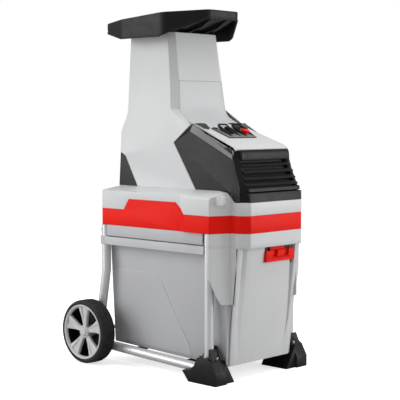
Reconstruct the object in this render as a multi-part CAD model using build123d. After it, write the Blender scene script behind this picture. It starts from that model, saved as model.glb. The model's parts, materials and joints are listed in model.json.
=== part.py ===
from build123d import *
from math import atan2, cos, degrees, hypot, pi, radians, sin, tan
import os

# Electric garden chipper: a drum cutter under a feed tower, on a tube frame
# with two wheels, over a collection box that pulls out at the front.
# Millimetres. +Z up, the front (louvres, box, latch) faces -Y, the wheels are
# at +Y. The origin is on the ground, at the middle of the whole footprint.

# ---------------------------------------------------------------- dimensions
WALL = 3.5                  # moulded plastic walls
GAP = 0.3                   # clearance between neighbouring mouldings

# waist: the ring where the housing, the band and the box rim line up
FRONT_Y = -299.0            # flat front face
FRONT_HALF = 101.0          # half width of that face
STEP_HALF = 122.0           # half width behind the small corner facet
BULGE_HALF = 180.0          # half width over the front legs
BODY_HALF = 171.0           # half width of the sides
REAR_Y = 201.0
BOX_RIM_LOW, BAND_LOW, BAND_TOP = 347.0, 386.0, 431.0
BAND_RAISED = 460.0         # height of the band's raised stretch at the sides
SHOULDER_TOP = 492.0        # tower foot
BACK_WALL = 7.3             # inner face of the flange behind the band

# tower
TOWER_BASE_HALF = 120.0     # half width at the shoulder
TOWER_LEAN = 0.0633         # how much each side leans in, mm per mm
TOWER_TOP = 908.0
TOWER_REAR_Y = 148.0
SEAM_Z = 778.0              # seam between tower and deck panel
# height, front face y, half width of the front face, corner facet depth
TOWER_FRONT = [
    (TOWER_TOP, -9.0, 79.0, 15.0),
    (778.0, -27.0, 83.0, 16.0),
    (701.0, -36.0, 90.0, 17.5),
    (664.0, -86.0, 102.0, 9.0),
]
REAR_COVER_OUTLINE = [(180, 583), (166, 583), (150, 574), (97, SHOULDER_TOP + GAP), (180, SHOULDER_TOP + GAP)]
SCREW_R = 2.0
SCREW_PLACES = [(x, y, z) for x in (-86.0, 86.0) for y, z in ((171.0, 606.0), (TOWER_REAR_Y, 872.0))]

# deck: the sloped control panel in front of the tower
DECK_SLOPE = 20.0
DECK_MID_Y, DECK_MID_Z = -150.0, 640.5
DECK_FRONT_Y, DECK_FRONT_Z = -250.0, 598.0

# louvred motor cover between two side cheeks
COVER_LOW = 464.0 + GAP
LOUVRES = 6
LOUVRE_TOP, LOUVRE_PITCH, LOUVRE_SLOT = 568.0, 14.0, 6.0
# height, front face y, its half width, half width and y of the corner facet's outer edge
COVER_SECTIONS = [(463.0, -295.0, 101.0, 121.5, -275.0), (670.0, -225.5, 104.0, 108.7, -220.6)]
CHEEK_THICK = 8.0
CHEEK_OUTLINE = [(-35, 614), (-98, 663), (-243, 585), (-258, 545), (-272, 501), (-274, 466), (-260, 466),
                 (-241, 492.4), (-125, 493)]
INLET_Y, INLET_Z, INLET_R = -180.0, 545.0, 24.0

# hood
HOOD_FRONT_Y, HOOD_REAR_Y = -113.0, 235.0
HOOD_FRONT_Z, HOOD_REAR_Z = 964.0, 940.0
HOOD_WALL = 3.5
THROAT_Z, NECK_LOW = 913.0, 882.0
HOOD_PLAN = [(57.0, HOOD_FRONT_Y), (139.0, -18.0), (139.0, 140.0), (110.0, HOOD_REAR_Y)]

# tube frame
TUBE_R, TUBE_BORE_R = 12.5, 11.0
TUBE_X = 160.0
LEG_FRONT_Y, LEG_REAR_Y = -210.0, 181.0
LEG_TOP_Z, REAR_LEG_TOP_Z = 424.0, 385.0
BEND_R = 45.0
CROSS_BAR_Y, CROSS_BAR_Z = (-110.0, 110.0), 38.5
BOLT_Z, REAR_BOLT_Z, BOLT_R = 408.0, 370.0, 3.0
RAIL_Z0, RAIL_Z1 = 331.0, 353.0

# wheels
AXLE_Y, AXLE_Z, AXLE_R = 211.0, 88.0, 5.0
WHEEL_R, RIM_R = 88.0, 76.0
WHEEL_IN, WHEEL_OUT = 178.0, 226.0
SPOKES = 5

# collection box
BOX_TOP_HALF, BOX_LOW_HALF = 146.0, 127.0
BOX_LOW_FRONT_Z, BOX_LOW_REAR_Z = 41.0, 54.0
BOX_FRONT_LOW_Y, BOX_FRONT_TOP_Y, BOX_REAR_Y = -243.0, -277.0, 182.0
BOX_WALL = 3.0
BIN_FRONT_Y = -258.0        # front wall of the bin, behind the box panel

# latch on the box front
LATCH_X0, LATCH_X1 = -19.0, 95.0
LATCH_Z0, LATCH_Z1 = 305.0, 334.0
LATCH_MID = (LATCH_X0 + LATCH_X1) / 2

# chassis plate and the cast frame round the drum
CHASSIS_Z0, CHASSIS_Z1 = 391.0, 394.0
CHIP_HOLE = (-70.0, 80.0, 16.0, 126.0)
CUTTER_X0, CUTTER_X1, CUTTER_Y0, CUTTER_Y1 = -80.0, 95.0, 2.0, 140.0
CUTTER_LOW, CUTTER_TOP = CHASSIS_Z1 + 0.3, 512.0
BEARING_R, DRUM_SHAFT_R, SPINDLE_R = 16.0, 8.5, 6.0

# drive train, all shafts along Y
GEAR_MODULE = 2.0
PINION_TEETH, WHEEL_TEETH = 15, 45
DRUM_X, DRUM_Z, DRUM_R = -22.0, 458.0, 46.0
DRUM_Y0, DRUM_Y1 = 14.0, 128.0
MOTOR_X, MOTOR_Z = 0.0, 508.0
GEAR_CENTRES = GEAR_MODULE * (PINION_TEETH + WHEEL_TEETH) / 2
DRUM_BLADES = 8
ADJUST_Y, ADJUST_Z = 70.0, 446.0        # spindle that sets the pressure plate
STAGE_1, STAGE_2 = (-74.0, -60.0), (-50.0, -30.0)
CASE_X0, CASE_X1, CASE_Y0, CASE_Y1 = -78.0, 98.0, -86.0, -3.0
CASE_SPAN = (CASE_Y0, CASE_Y1)
CASE_LOW, CASE_TOP = CHASSIS_Z1 + 0.3, 534.0
SHAFT_R = 6.0
MOTOR_Y0, MOTOR_Y1, MOTOR_R = -230.0, -88.0, 60.0

# control plate, in the deck's own plane: x across, v up the slope, w out of it
PANEL_X0, PANEL_X1, PANEL_V0, PANEL_V1 = -62.0, 46.0, -44.0, 38.0
DECK = Plane(origin=(0, DECK_MID_Y, DECK_MID_Z), x_dir=(1, 0, 0),
             z_dir=(0, -sin(radians(DECK_SLOPE)), cos(radians(DECK_SLOPE))))
KNOB_X, STOP_X, START_X = -28.0, 26.0, 26.0
KNOB_V, STOP_V, START_V = -6.0, -14.0, 11.0
KNOB_R, STOP_R, START_R = 14.5, 11.5, 7.5
MODULE_HALF, MODULE_WALL = 18.5, 3.0    # raised walls round the knob and round the buttons


# ------------------------------------------------------------------- helpers
def polygon(points):
    return make_face(Polyline(*points, close=True))


def mirrored(half):
    """Closed plan outline from its right-hand half, listed front to back."""
    return half + [(-x, y) for x, y in reversed(half)]


def slab(points, z0, z1):
    """Plan outline raised from z0 to z1."""
    return Pos(0, 0, z0) * extrude(polygon(points), z1 - z0)


def side_prism(points, x0, x1):
    """(y, z) outline drawn out along X."""
    return Pos(x0, 0, 0) * extrude(Plane.YZ * polygon(points), x1 - x0)


def front_prism(points, y0, y1):
    """(x, z) outline drawn out along Y."""
    return Pos(0, y1, 0) * extrude(Plane.XZ * polygon(points), y1 - y0)


def block(x0, x1, y0, y1, z0, z1):
    return Pos((x0 + x1) / 2, (y0 + y1) / 2, (z0 + z1) / 2) * Box(x1 - x0, y1 - y0, z1 - z0)


def rod_x(y, z, radius, x0, x1):
    return Pos((x0 + x1) / 2, y, z) * Rot(0, 90, 0) * Cylinder(radius, x1 - x0)


def rod_y(x, z, radius, y0, y1):
    return Pos(x, (y0 + y1) / 2, z) * Rot(90, 0, 0) * Cylinder(radius, y1 - y0)


def rod_z(x, y, radius, z0, z1):
    return Pos(x, y, (z0 + z1) / 2) * Cylinder(radius, z1 - z0)


def tube_y(x, z, outer, inner, y0, y1):
    return rod_y(x, z, outer, y0, y1) - rod_y(x, z, inner, y0 - 1, y1 + 1)


def tube_x(y, z, outer, inner, x0, x1):
    return rod_x(y, z, outer, x0, x1) - rod_x(y, z, inner, x0 - 1, x1 + 1)


def both_sides(solid):
    return [solid, mirror(solid, about=Plane.YZ)]


def side_half(z):
    """Half width of the tower's leaning sides at height z."""
    return TOWER_BASE_HALF - TOWER_LEAN * (z - SHOULDER_TOP)


def tube_run_z(y):
    """Height of the frame tube's lower run, which rises a little to the rear."""
    return 36.0 + 12.0 * (y + 155.0) / 295.0


def deck_block(x0, x1, v0, v1, w0, w1):
    return DECK * block(x0, x1, v0, v1, w0, w1)


def deck_rod(x, v, radius, w0, w1):
    return DECK * rod_z(x, v, radius, w0, w1)


NODES = {}


def add(name, *solids):
    """Keep the finished solids of one sub-part under its name."""
    NODES[name] = Compound(children=[s for solid in solids for s in solid.solids()])


# -------------------------------------------------------- waist and housings
def waist_plan(inset=0.0):
    """Outline of the waist, drawn in by inset all round."""
    i = inset
    slant = i * tan(radians(22.5))
    return mirrored([
        (FRONT_HALF - slant, FRONT_Y + i),
        (STEP_HALF - i * 0.4, -277.0 + i * 0.9),
        (STEP_HALF - i * 0.4, -252.0 + i * 0.9),
        (BULGE_HALF - i, -228.0 + i * 0.9),
        (BULGE_HALF - i, -140.0 - slant * 0.5),
        (BODY_HALF - i, -118.0 - slant * 0.5),
        (BODY_HALF - i, REAR_Y - 16.0),
        (BODY_HALF - 16.0, REAR_Y - i),
    ])


def shoulder_side(inset):
    """(x, z) section of the housing: upright flange and rising shoulder."""
    i = inset
    return [(-185, 431 - 1), (185, 431 - 1), (185, 468 - i), (172, 480 - i),
            (TOWER_BASE_HALF - i, SHOULDER_TOP - i * 0.2), (-TOWER_BASE_HALF + i, SHOULDER_TOP - i * 0.2),
            (-172, 480 - i), (-185, 468 - i)]


def shoulder_length(inset):
    """(y, z) section of the housing, lower at the front and at the rear."""
    i = inset
    return [(-300, 430), (-300, 464 - i), (-262, 464 - i), (-236, 488 - i), (-200, SHOULDER_TOP + 1),
            (160, SHOULDER_TOP + 1), (175, 488 - i), (202, 470 - i), (202, 430)]


def build_base_housing():
    """Light moulding over the chassis: flange, shoulder and the tower's foot opening."""
    def form(inset, low):
        body = slab(waist_plan(inset), low, SHOULDER_TOP + 1)
        body &= front_prism(shoulder_side(inset), -310, 310)
        return body & side_prism(shoulder_length(inset), -190, 190)
    outer = form(0.0, BAND_TOP)
    housing = outer - form(WALL, BAND_TOP - 1)
    housing -= block(-116.5, 116.5, -242, 168, 440, 500)          # foot opening of the tower
    housing -= block(-99, 99, -293, -230, 440, 500)               # foot opening of the motor cover
    # the flange steps in and goes on down behind the band
    housing += waist_ring(2.5, BACK_WALL, BAND_TOP, BAND_TOP + 5)
    housing += waist_ring(WALL + GAP, BACK_WALL, BAND_LOW + 2, BAND_TOP + 1)
    housing += waist_ring(2.5, BACK_WALL, BAND_TOP, 478) & raised_zone(6.0) & outer
    housing -= waist_ring(-2.0, WALL + GAP, BAND_TOP - 2, 478) & raised_zone(GAP)
    corner = side_prism([(-249, 458), (-200, 458), (-249, 484)], 138, 164)
    for boss in both_sides(corner):
        housing += boss
    housing -= rod_x(ADJUST_Y, ADJUST_Z, 7.0, 150, 190)           # hole for the adjusting spindle
    add("base_housing", housing)


def waist_ring(outer, inner, z0, z1):
    return slab(waist_plan(outer), z0, z1) - slab(waist_plan(inner), z0 - 1, z1 + 1)


def raised_zone(grow):
    """The band's raised stretch at both sides, grown by a clearance."""
    g = grow
    outline = [(-136 - g, BAND_TOP), (-101 - g, BAND_RAISED + g), (78 + g, BAND_RAISED + g),
               (98 + g, BAND_TOP), (98 + g, BAND_TOP - 8), (-136 - g, BAND_TOP - 8)]
    return side_prism(outline, -200, 200)


def build_red_band():
    band = waist_ring(0.0, WALL, BAND_LOW, BAND_TOP - GAP)
    band += waist_ring(0.0, WALL, BAND_TOP - 8, BAND_RAISED) & raised_zone(0.0)
    band -= rod_x(ADJUST_Y, ADJUST_Z, 7.0, 150, 190)
    add("red_band", band)


# --------------------------------------------------------------------- tower
def tower_section(z, front_y, front_half, facet, inset):
    side = side_half(z) - inset
    front = front_y + inset
    return Pos(0, 0, z) * polygon(mirrored([
        (front_half - inset * 0.5, front), (side, front + facet), (side, TOWER_REAR_Y - inset)]))


def tower_form(inset):
    """Tower body with its leaning sides, corner facets and stepped-out rear."""
    i = inset
    upper = loft([tower_section(*row, i) for row in TOWER_FRONT], ruled=True)
    lower_outline = [(-98 + i, 664.2), (-35 + i, 614), (-123 + i, SHOULDER_TOP), (171 - i, SHOULDER_TOP),
                     (171 - i, 640), (166 - i, 656), (153 - i, 680), (148 - i, 700), (100, 700), (100, 664.2)]
    z0, z1 = SHOULDER_TOP, 700.0
    wedge = front_prism([(-side_half(z0) + i, z0), (side_half(z0) - i, z0),
                         (side_half(z1) - i, z1), (-side_half(z1) + i, z1)], -150, 180)
    return upper + (side_prism(lower_outline, -130, 130) & wedge)


def deck_outline(offset):
    """(y, z) outline of the deck's top surface, offset downwards."""
    o = offset
    return [(-27 + o * 0.8, SEAM_Z), (-36 + o * 0.8, 701), (-40 + o * 0.8, 688 - o * 0.4),
            (-50 + o * 0.5, 680 - o), (-86, 664.5 - o), (DECK_MID_Y, DECK_MID_Z - o), (-214, 617.2 - o),
            (-238, 607.5 - o),
            (DECK_FRONT_Y + o * 0.6, DECK_FRONT_Z - o * 0.3)]


def build_tower():
    shell = tower_form(0.0) - tower_form(WALL)
    inner_top = tower_section(*TOWER_FRONT[0], WALL)
    shell -= Pos(0, 0, -20) * extrude(inner_top, 60)
    foot_half = side_half(SHOULDER_TOP) - WALL - 0.5
    shell -= block(-foot_half, foot_half, -100, 171 - WALL, SHOULDER_TOP - 5, SHOULDER_TOP + 12)
    shell -= block(-98, 98, -160, 100, SHOULDER_TOP - 5, 655)     # room for motor and gearbox
    shell -= side_prism(REAR_COVER_OUTLINE, -130, 130)
    shell -= side_prism(deck_outline(0.0) + [(-260, DECK_FRONT_Z), (-260, SEAM_Z)], -83.3, 83.3)
    shell -= front_prism([(-83.3, SEAM_Z + GAP), (83.3, SEAM_Z + GAP), (90.3, 701), (102.3, 664),
                          (102.3, 600), (-102.3, 600), (-102.3, 664), (-90.3, 701)], -140, 30)
    for x, y, z in SCREW_PLACES:
        shell -= rod_y(x, z, SCREW_R + 0.1, y - 15, y + 5)
    add("tower_shell", shell)


def build_deck():
    """Sloped control panel with the lower front face of the tower, one moulding."""
    top = side_prism(deck_outline(0.0) + deck_outline(WALL)[::-1], -120, 120)
    face = front_prism([(-83, SEAM_Z), (83, SEAM_Z), (90, 701), (102, 664), (107, DECK_FRONT_Z - 4),
                        (-107, DECK_FRONT_Z - 4), (-102, 664), (-90, 701)], -300, 0)
    deck = top & face
    plan = mirrored([(104, -262), (104, -250), (86, -86), (102, -70), (102, 0)])
    deck &= slab(plan, 560, 800)
    deck -= DECK * block(PANEL_X0, PANEL_X1, PANEL_V0, PANEL_V1, -20, 20)
    add("deck_panel", deck)


# -------------------------------------------------- motor cover, cheeks, rear
def lean_wedge(inset, y0, y1):
    """Everything between the two leaning side faces, drawn in by inset."""
    z0, z1 = 455.0, 700.0
    half0, half1 = side_half(z0) - inset, side_half(z1) - inset
    return front_prism([(-half0, z0), (half0, z0), (half1, z1), (-half1, z1)], y0, y1)


def flank_limit(inset):
    """Sloping upper edges beside the deck, cut between two cross-sections."""
    i = inset
    sections = []
    for y, deck_half, top_z, edge_half, edge_z in [(-300, 109.5, 586, 109, 554), (-86, 86, 664.5, 104, 668)]:
        outline = [(-edge_half, edge_z - i), (-deck_half, top_z - i), (deck_half, top_z - i),
                   (edge_half, edge_z - i), (130, edge_z - i), (130, 455), (-130, 455), (-130, edge_z - i)]
        sections.append(Pos(0, y, 0) * (Plane.XZ * polygon(outline)))
    return loft(sections, ruled=True)


def cover_form(inset):
    i = inset
    plans = []
    for z, front, half, corner_half, corner_y in COVER_SECTIONS:
        outline = mirrored([(half - i * 0.4, front + i), (corner_half - i, corner_y + i * 0.4),
                            (corner_half - i, -88)])
        plans.append(Pos(0, 0, z) * polygon(outline))
    profile = [(-87, 460), (-296, 460), (-295 + i, 488), (-283 + i, 493), (-256 + i, 576),
               (-251 + i, 594 - i)]
    profile += deck_outline(WALL + GAP + i)[:3:-1]
    return (loft(plans, ruled=True) & side_prism(profile, -125, 125) & flank_limit(i)
            & lean_wedge(i, -300, -80))


def cheek_zone(grow):
    """Space of both cheeks, grown by a clearance."""
    g = grow
    ring = lean_wedge(-1, -300, 0) - lean_wedge(CHEEK_THICK + g, -301, 1)
    outline = CHEEK_OUTLINE
    if g:
        outline = [(-33 + g, 614), (-98, 664 + g), (-243 - g, 585 + g), (-258.5 - g, 545), (-272 - g, 501),
                   (-274 - g, 464 - g), (-259, 464 - g), (-240, 490 - g), (-124 + g, 491 - g)]
    return ring & side_prism(outline, -130, 130)


def build_motor_cover():
    cover = cover_form(0.0) - cover_form(WALL)
    cover &= block(-130, 130, -300, -100, COVER_LOW, 700)
    cover -= cheek_zone(GAP)
    cover -= deck_block(PANEL_X0 - 1, PANEL_X1 + 1, PANEL_V0 - 1, PANEL_V1 + 1, -20, 20)
    tower_zone = [(-98.6, 664.5), (-35, 614.4), (-124.5, 491), (0, 491), (0, 700), (-98.6, 700)]
    cover -= side_prism(tower_zone, -130, 130)
    cover -= block(-130, 130, -262, -90, 455, 500)                # clears the housing's shoulder
    for row in range(LOUVRES):
        top = LOUVRE_TOP - row * LOUVRE_PITCH
        for x0, x1 in [(-96, -3), (3, 96)]:
            cover -= block(x0, x1, -300, -240, top - LOUVRE_SLOT, top)
    add("motor_cover", cover)


def build_cheeks():
    zone = cheek_zone(0.0) & lean_wedge(0.0, -300, 0)
    for sign, side in ((-1, "left"), (1, "right")):
        cheek = zone & block(min(0, sign * 130), max(0, sign * 130), -300, 0, 455, 700)
        bevel = front_prism([(sign * 104, 700), (sign * 130, 700), (sign * 130, 640), (sign * 112, 648)],
                            -300, 0)
        slope = degrees(atan2(663 - 585, -98 + 243))
        turn = Pos(0, -98, 648) * Rot(slope, 0, 0) * Pos(0, 98, -648)
        cheek -= turn * bevel
        if side == "right":
            cheek -= rod_x(INLET_Y, INLET_Z, INLET_R + GAP, 90, 130)
        add(f"cheek_{side}", cheek)


def build_mains_inlet():
    """Recessed appliance plug behind a round collar in the right cheek."""
    collar = rod_x(INLET_Y, INLET_Z, INLET_R, 94, 118) - rod_x(INLET_Y, INLET_Z, INLET_R - 3, 98, 119)
    for dy, dz in ((-8, 0), (8, 0), (0, 7)):
        collar += rod_x(INLET_Y + dy, INLET_Z + dz, 2.4, 97, 114)
    add("mains_inlet", collar)


def build_rear_cover():
    outline = [(max(y, 97.6), z - GAP if z > 500 else z) for y, z in REAR_COVER_OUTLINE]
    cover = (tower_form(0.0) & side_prism(outline, -130, 130)) - tower_form(WALL)
    cover -= block(-110, 110, 90, 167, SHOULDER_TOP, 560)
    for row in range(5):
        cover -= block(-70, 70, 160, 180, 510 + 12 * row, 516 + 12 * row)
    add("rear_cover", cover)


# ----------------------------------------------------------------------- hood
def hood_tilt_z(y):
    return HOOD_FRONT_Z + (HOOD_REAR_Z - HOOD_FRONT_Z) * (y - HOOD_FRONT_Y) / (HOOD_REAR_Y - HOOD_FRONT_Y)


def hood_plan(inset):
    i = inset
    (x0, y0), (x1, y1), (x2, y2), (x3, y3) = HOOD_PLAN
    return mirrored([(x0 - i * 0.4, y0 + i), (x1 - i, y1 + i * 0.3), (x2 - i, y2 - i * 0.2),
                     (x3 - i * 0.8, y3 - i)])


def throat_plan(grow):
    g = grow
    return mirrored([(77 + g * 0.5, 7 - g), (86 + g, 16 - g * 0.5), (86 + g, 132 + g * 0.5),
                     (77 + g * 0.5, 141 + g)])


def tilted_face(points, drop):
    return make_face(Polyline(*[(x, y, hood_tilt_z(y) - drop) for x, y in points], close=True))


def build_hood():
    front, rear = HOOD_FRONT_Y - 1, HOOD_REAR_Y + 1
    skirt_outline = [(front, HOOD_FRONT_Z), (rear, HOOD_REAR_Z), (rear, 914), (145, 893), (-5, 893),
                     (-44, 909), (front, 941)]
    skirt = slab(hood_plan(0.0), 880, 970) - slab(hood_plan(HOOD_WALL), 879, 971)
    skirt &= side_prism(skirt_outline, -150, 150)
    under = loft([Pos(0, 0, THROAT_Z) * polygon(throat_plan(3.0)), tilted_face(hood_plan(2.0), 15.0)],
                 ruled=True)
    funnel = loft([Pos(0, 0, THROAT_Z + 3.5) * polygon(throat_plan(0.0)), tilted_face(hood_plan(2.0), 11.0)],
                  ruled=True)
    bore = slab(throat_plan(0.0), NECK_LOW - 1, THROAT_Z + 5)
    neck = slab(throat_plan(3.0), NECK_LOW, THROAT_Z + 2)
    hood = skirt + (under - funnel) + neck - bore
    for x in (-34.0, 28.0):
        hood += side_prism([(-106, 946), (4, 917), (4, 911), (-12, 909.5), (-60, 919)], x, x + 4)
    add("feed_hood", hood)


def build_chute():
    """Inner duct that leads from the hood's neck to the cutter."""
    def duct(grow):
        g = grow
        top = mirrored([(84 + g, 8 - g), (84 + g, 139 + g)])
        low = [(54 + g, 13 - g), (54 + g, 129 + g), (-66 - g, 129 + g), (-66 - g, 13 - g)]
        return loft([Pos(0, 0, 513.0) * polygon(low), Pos(0, 0, 880.0) * polygon(top)], ruled=True)
    add("inner_chute", duct(2.5) - duct(0.0))


# ------------------------------------------------------------ frame and wheels
def tube_path():
    run_start = tube_run_z(LEG_FRONT_Y)
    corner_y = 217.3
    points = [(0, LEG_FRONT_Y, LEG_TOP_Z), (0, LEG_FRONT_Y, run_start), (0, corner_y, tube_run_z(corner_y)),
              (0, LEG_REAR_Y, 262.0), (0, LEG_REAR_Y, REAR_LEG_TOP_Z)]
    return FilletPolyline(*points, radius=BEND_R)


def tube_solid(radius):
    path = tube_path()
    return sweep(Plane(origin=(0, LEG_FRONT_Y, LEG_TOP_Z), z_dir=(0, 0, -1)) * Circle(radius), path=path)


def build_frame():
    tube = tube_solid(TUBE_R) - tube_solid(TUBE_BORE_R)
    tube -= rod_x(AXLE_Y, AXLE_Z, AXLE_R + 0.05, -20, 20)
    tube -= rod_x(LEG_FRONT_Y, BOLT_Z, BOLT_R + 0.3, -20, 20)
    tube -= rod_y(0, REAR_BOLT_Z, BOLT_R + 0.3, 160, 200)
    for sign, side in ((-1, "left"), (1, "right")):
        add(f"frame_tube_{side}", Pos(sign * TUBE_X, 0, 0) * tube)
    bars = []
    legs = [Pos(sign * TUBE_X, 0, 0) * tube_solid(TUBE_R + 0.05) for sign in (-1, 1)]
    for y in CROSS_BAR_Y:
        length = TUBE_X - TUBE_R + 3
        bar = rod_x(y, CROSS_BAR_Z, 6.0, -length, length)
        bars.append(bar - legs[0] - legs[1])
    add("cross_bars", *bars)


def build_rails():
    clear_leg = [rod_z(TUBE_X, y, TUBE_R + 0.1, 300, 370) for y in (LEG_FRONT_Y, LEG_REAR_Y)]
    bar = block(166, 174, -203, 176, RAIL_Z0, RAIL_Z1)
    wrap = rod_z(TUBE_X, LEG_REAR_Y, TUBE_R + 3.5, RAIL_Z0, RAIL_Z1)
    wrap &= block(148.6, 180, 150, 210, RAIL_Z0, RAIL_Z1)
    rail = bar + wrap
    for leg in clear_leg:
        rail -= leg
    solids = both_sides(rail)
    add("rail_right", solids[0])
    add("rail_left", solids[1])
    skirt = block(167, 171, -196, 167, RAIL_Z1 + 2.5, BAND_LOW - GAP)
    for y in (-140, 0, 130):
        skirt += block(160, 167.5, y, y + 4, RAIL_Z1 + 4, BAND_LOW - GAP)
    solids = both_sides(skirt)
    add("side_skirt_right", solids[0])
    add("side_skirt_left", solids[1])


def build_feet():
    tube = Pos(TUBE_X, 0, 0) * tube_solid(TUBE_R + 0.1)
    outer = side_prism([(-255, 0), (-158, 0), (-135, 27), (-160, 31), (-176, 42), (-190, 67), (-226, 67),
                        (-238, 60), (-255, 30)], 141, 183.5)
    inner = side_prism([(-255, 0), (-158, 0), (-158, 40), (-194, 96), (-222, 96), (-255, 30)], 141, 147.2)
    nose = side_prism([(-252, 30), (-223, 90), (-223, 60), (-236, 30)], 141, 176)
    gusset = front_prism([(105, 0), (142, 0), (142, 62)], -248, -158)
    foot = outer + inner + nose + gusset
    foot -= tube
    foot -= rod_y(154, 66, 5.0, -262, -226)
    solids = both_sides(foot)
    add("foot_right", solids[0])
    add("foot_left", solids[1])


def wheel_solids():
    """Tyre, rim and hub cap about the X axis through the origin, outer side at +X."""
    half = (WHEEL_OUT - WHEEL_IN) / 2
    tyre_profile = [(-half, RIM_R + 0.2), (-half, WHEEL_R - 6), (-half + 5, WHEEL_R), (half - 5, WHEEL_R),
                    (half, WHEEL_R - 6), (half, RIM_R + 0.2)]
    tyre = revolve(Plane.XY * polygon(tyre_profile), Axis.X)
    rim_profile = [(-half + 2, RIM_R), (half - 1, RIM_R), (half - 1, RIM_R - 5), (half - 6, RIM_R - 7),
                   (-half + 2, RIM_R - 7)]
    rim = revolve(Plane.XY * polygon(rim_profile), Axis.X)
    rim += Rot(0, 90, 0) * Cylinder(17, 2 * half - 5)
    for index in range(SPOKES):
        spoke = loft([Pos(0, 0, 15) * Rectangle(12, 20), Pos(0, 0, RIM_R - 6.0) * Rectangle(12, 46)],
                     ruled=True)
        rim += Rot(index * 360 / SPOKES, 0, 0) * Pos(half - 12, 0, 0) * spoke
    rim &= Rot(0, 90, 0) * Cylinder(RIM_R, 2 * half)
    rim -= Rot(0, 90, 0) * Cylinder(AXLE_R + 0.05, 60)
    rim -= Pos(half - 2, 0, 0) * Rot(0, 90, 0) * Cylinder(12.2, 9)
    cap = Pos(half - 2.2, 0, 0) * Rot(0, 90, 0) * Cylinder(12.0, 4.4)
    return tyre, rim, cap


def build_wheels():
    tyre, rim, cap = wheel_solids()
    centre = (WHEEL_IN + WHEEL_OUT) / 2
    for side, place in (("right", Pos(centre, AXLE_Y, AXLE_Z)),
                        ("left", Pos(-centre, AXLE_Y, AXLE_Z) * Rot(0, 180, 0))):
        add(f"tyre_{side}", place * tyre)
        add(f"rim_{side}", place * rim)
        add(f"hub_cap_{side}", place * cap)
    add("axle", rod_x(AXLE_Y, AXLE_Z, AXLE_R, -221.4, 221.4))
    sleeve = [tube_x(AXLE_Y, AXLE_Z, 9.0, AXLE_R + 0.05, x0, x0 + 6.2) for x0 in (173.2, -179.4)]
    clips = [tube_x(AXLE_Y, AXLE_Z, 8.5, AXLE_R + 0.02, x0, x0 + 1.2) for x0 in (-220.9, 219.7)]
    add("axle_sleeves_and_clips", *sleeve, *clips)


# ------------------------------------------------------------- collection box
def bin_form(inset):
    i = inset
    profile = [(BOX_FRONT_LOW_Y + 4 + i, BOX_LOW_FRONT_Z + i), (BOX_REAR_Y - i, BOX_LOW_REAR_Z + i),
               (BOX_REAR_Y - i, 400), (BIN_FRONT_Y + i, 400), (BIN_FRONT_Y + i, 290)]
    low_half, top_half = BOX_LOW_HALF - i, BOX_TOP_HALF - i
    section = [(-low_half, BOX_LOW_FRONT_Z), (low_half, BOX_LOW_FRONT_Z), (top_half, 386), (top_half, 400),
               (-top_half, 400), (-top_half, 386)]
    inside_waist = slab(waist_plan(WALL + 0.5 + i), 30, 410)
    return side_prism(profile, -150, 150) & front_prism(section, -290, 200) & inside_waist


def build_bin():
    shell = bin_form(0.0) - bin_form(BOX_WALL)
    shell &= block(-160, 160, -290, 200, 30, BAND_LOW - 1)
    for x in (-60, 60):
        runner = block(x - 4, x + 4, -232, BOX_REAR_Y - 4, 45.0, 56.5)
        shell += runner - bin_form(BOX_WALL)
    add("box_bin", shell)


def fascia_wall(outer, inner, z0, z1):
    """Stretch of the waist outline in front of the front legs."""
    return waist_ring(outer, inner, z0, z1) & block(-185, 185, -310, -219, z0 - 1, z1 + 1)


def panel_y(z):
    """Front face of the box panel, which leans out towards the top."""
    return BOX_FRONT_LOW_Y + (BOX_FRONT_TOP_Y - BOX_FRONT_LOW_Y) * (z - 42) / (BOX_RIM_LOW - 42)


def build_box_front():
    top = BAND_LOW - GAP
    rim = fascia_wall(0.0, WALL, BOX_RIM_LOW, top)
    ledge = (slab(waist_plan(0.5), BOX_RIM_LOW, BOX_RIM_LOW + WALL)
             & block(-185, 185, -310, BOX_FRONT_TOP_Y + 3, 300, 360))
    low, high = BOX_LOW_FRONT_Z, BOX_RIM_LOW + 2
    panel = side_prism([(panel_y(low), low), (panel_y(high), high), (panel_y(high) + WALL, high),
                        (panel_y(low) + WALL, low)], -122, 122)
    panel_shape = [(-122, 400), (122, 400), (122, 150), (118, low), (-118, low), (-122, 150)]
    panel &= front_prism(panel_shape, -300, -200)
    ears = fascia_wall(0.0, WALL, 203, BOX_RIM_LOW + 0.1) & block(-185, 185, -275.5, -219, 200, 400)
    ear_outline = [(118, 400), (181, 400), (181, 269), (160, 224), (148, 203), (118, 203)]
    ear_shape = front_prism(ear_outline, -300, -200)
    ears &= ear_shape + mirror(ear_shape, about=Plane.YZ)
    front = rim + ledge + panel + ears
    front -= block(LATCH_X0 - 1, LATCH_X1 + 1, -290, -262, LATCH_Z0 - 1.5, BOX_RIM_LOW - 0.5)
    add("box_front", front)


def build_latch():
    """Sliding lock: lowered it frees the box, raised its tongue goes up behind the band."""
    plate = block(LATCH_X0, LATCH_X1, -281, -270, LATCH_Z0, LATCH_Z1)
    for x in (LATCH_X0 + 34, LATCH_X1 - 34):
        plate -= rod_y(x, LATCH_Z1 - 6, 12, -285, -274)
    stem = block(LATCH_MID - 30, LATCH_MID + 30, -270, -266.5, LATCH_Z0, BAND_LOW - 0.8)
    tongue = block(LATCH_MID - 8, LATCH_MID + 8, -267, -263.0, BOX_RIM_LOW + 31, BAND_LOW - 1.5)
    add("latch", plate + stem + tongue)
    guide = block(LATCH_X0 - 6, LATCH_X1 + 6, -266, -262.5, LATCH_Z0 - 10, BOX_RIM_LOW + 30)
    for x in (LATCH_MID - 34.5, LATCH_MID + 30.5):
        guide += block(x, x + 4, -270, -265.5, BOX_RIM_LOW + 4, BOX_RIM_LOW + 30)
    add("latch_guide", guide)


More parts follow.
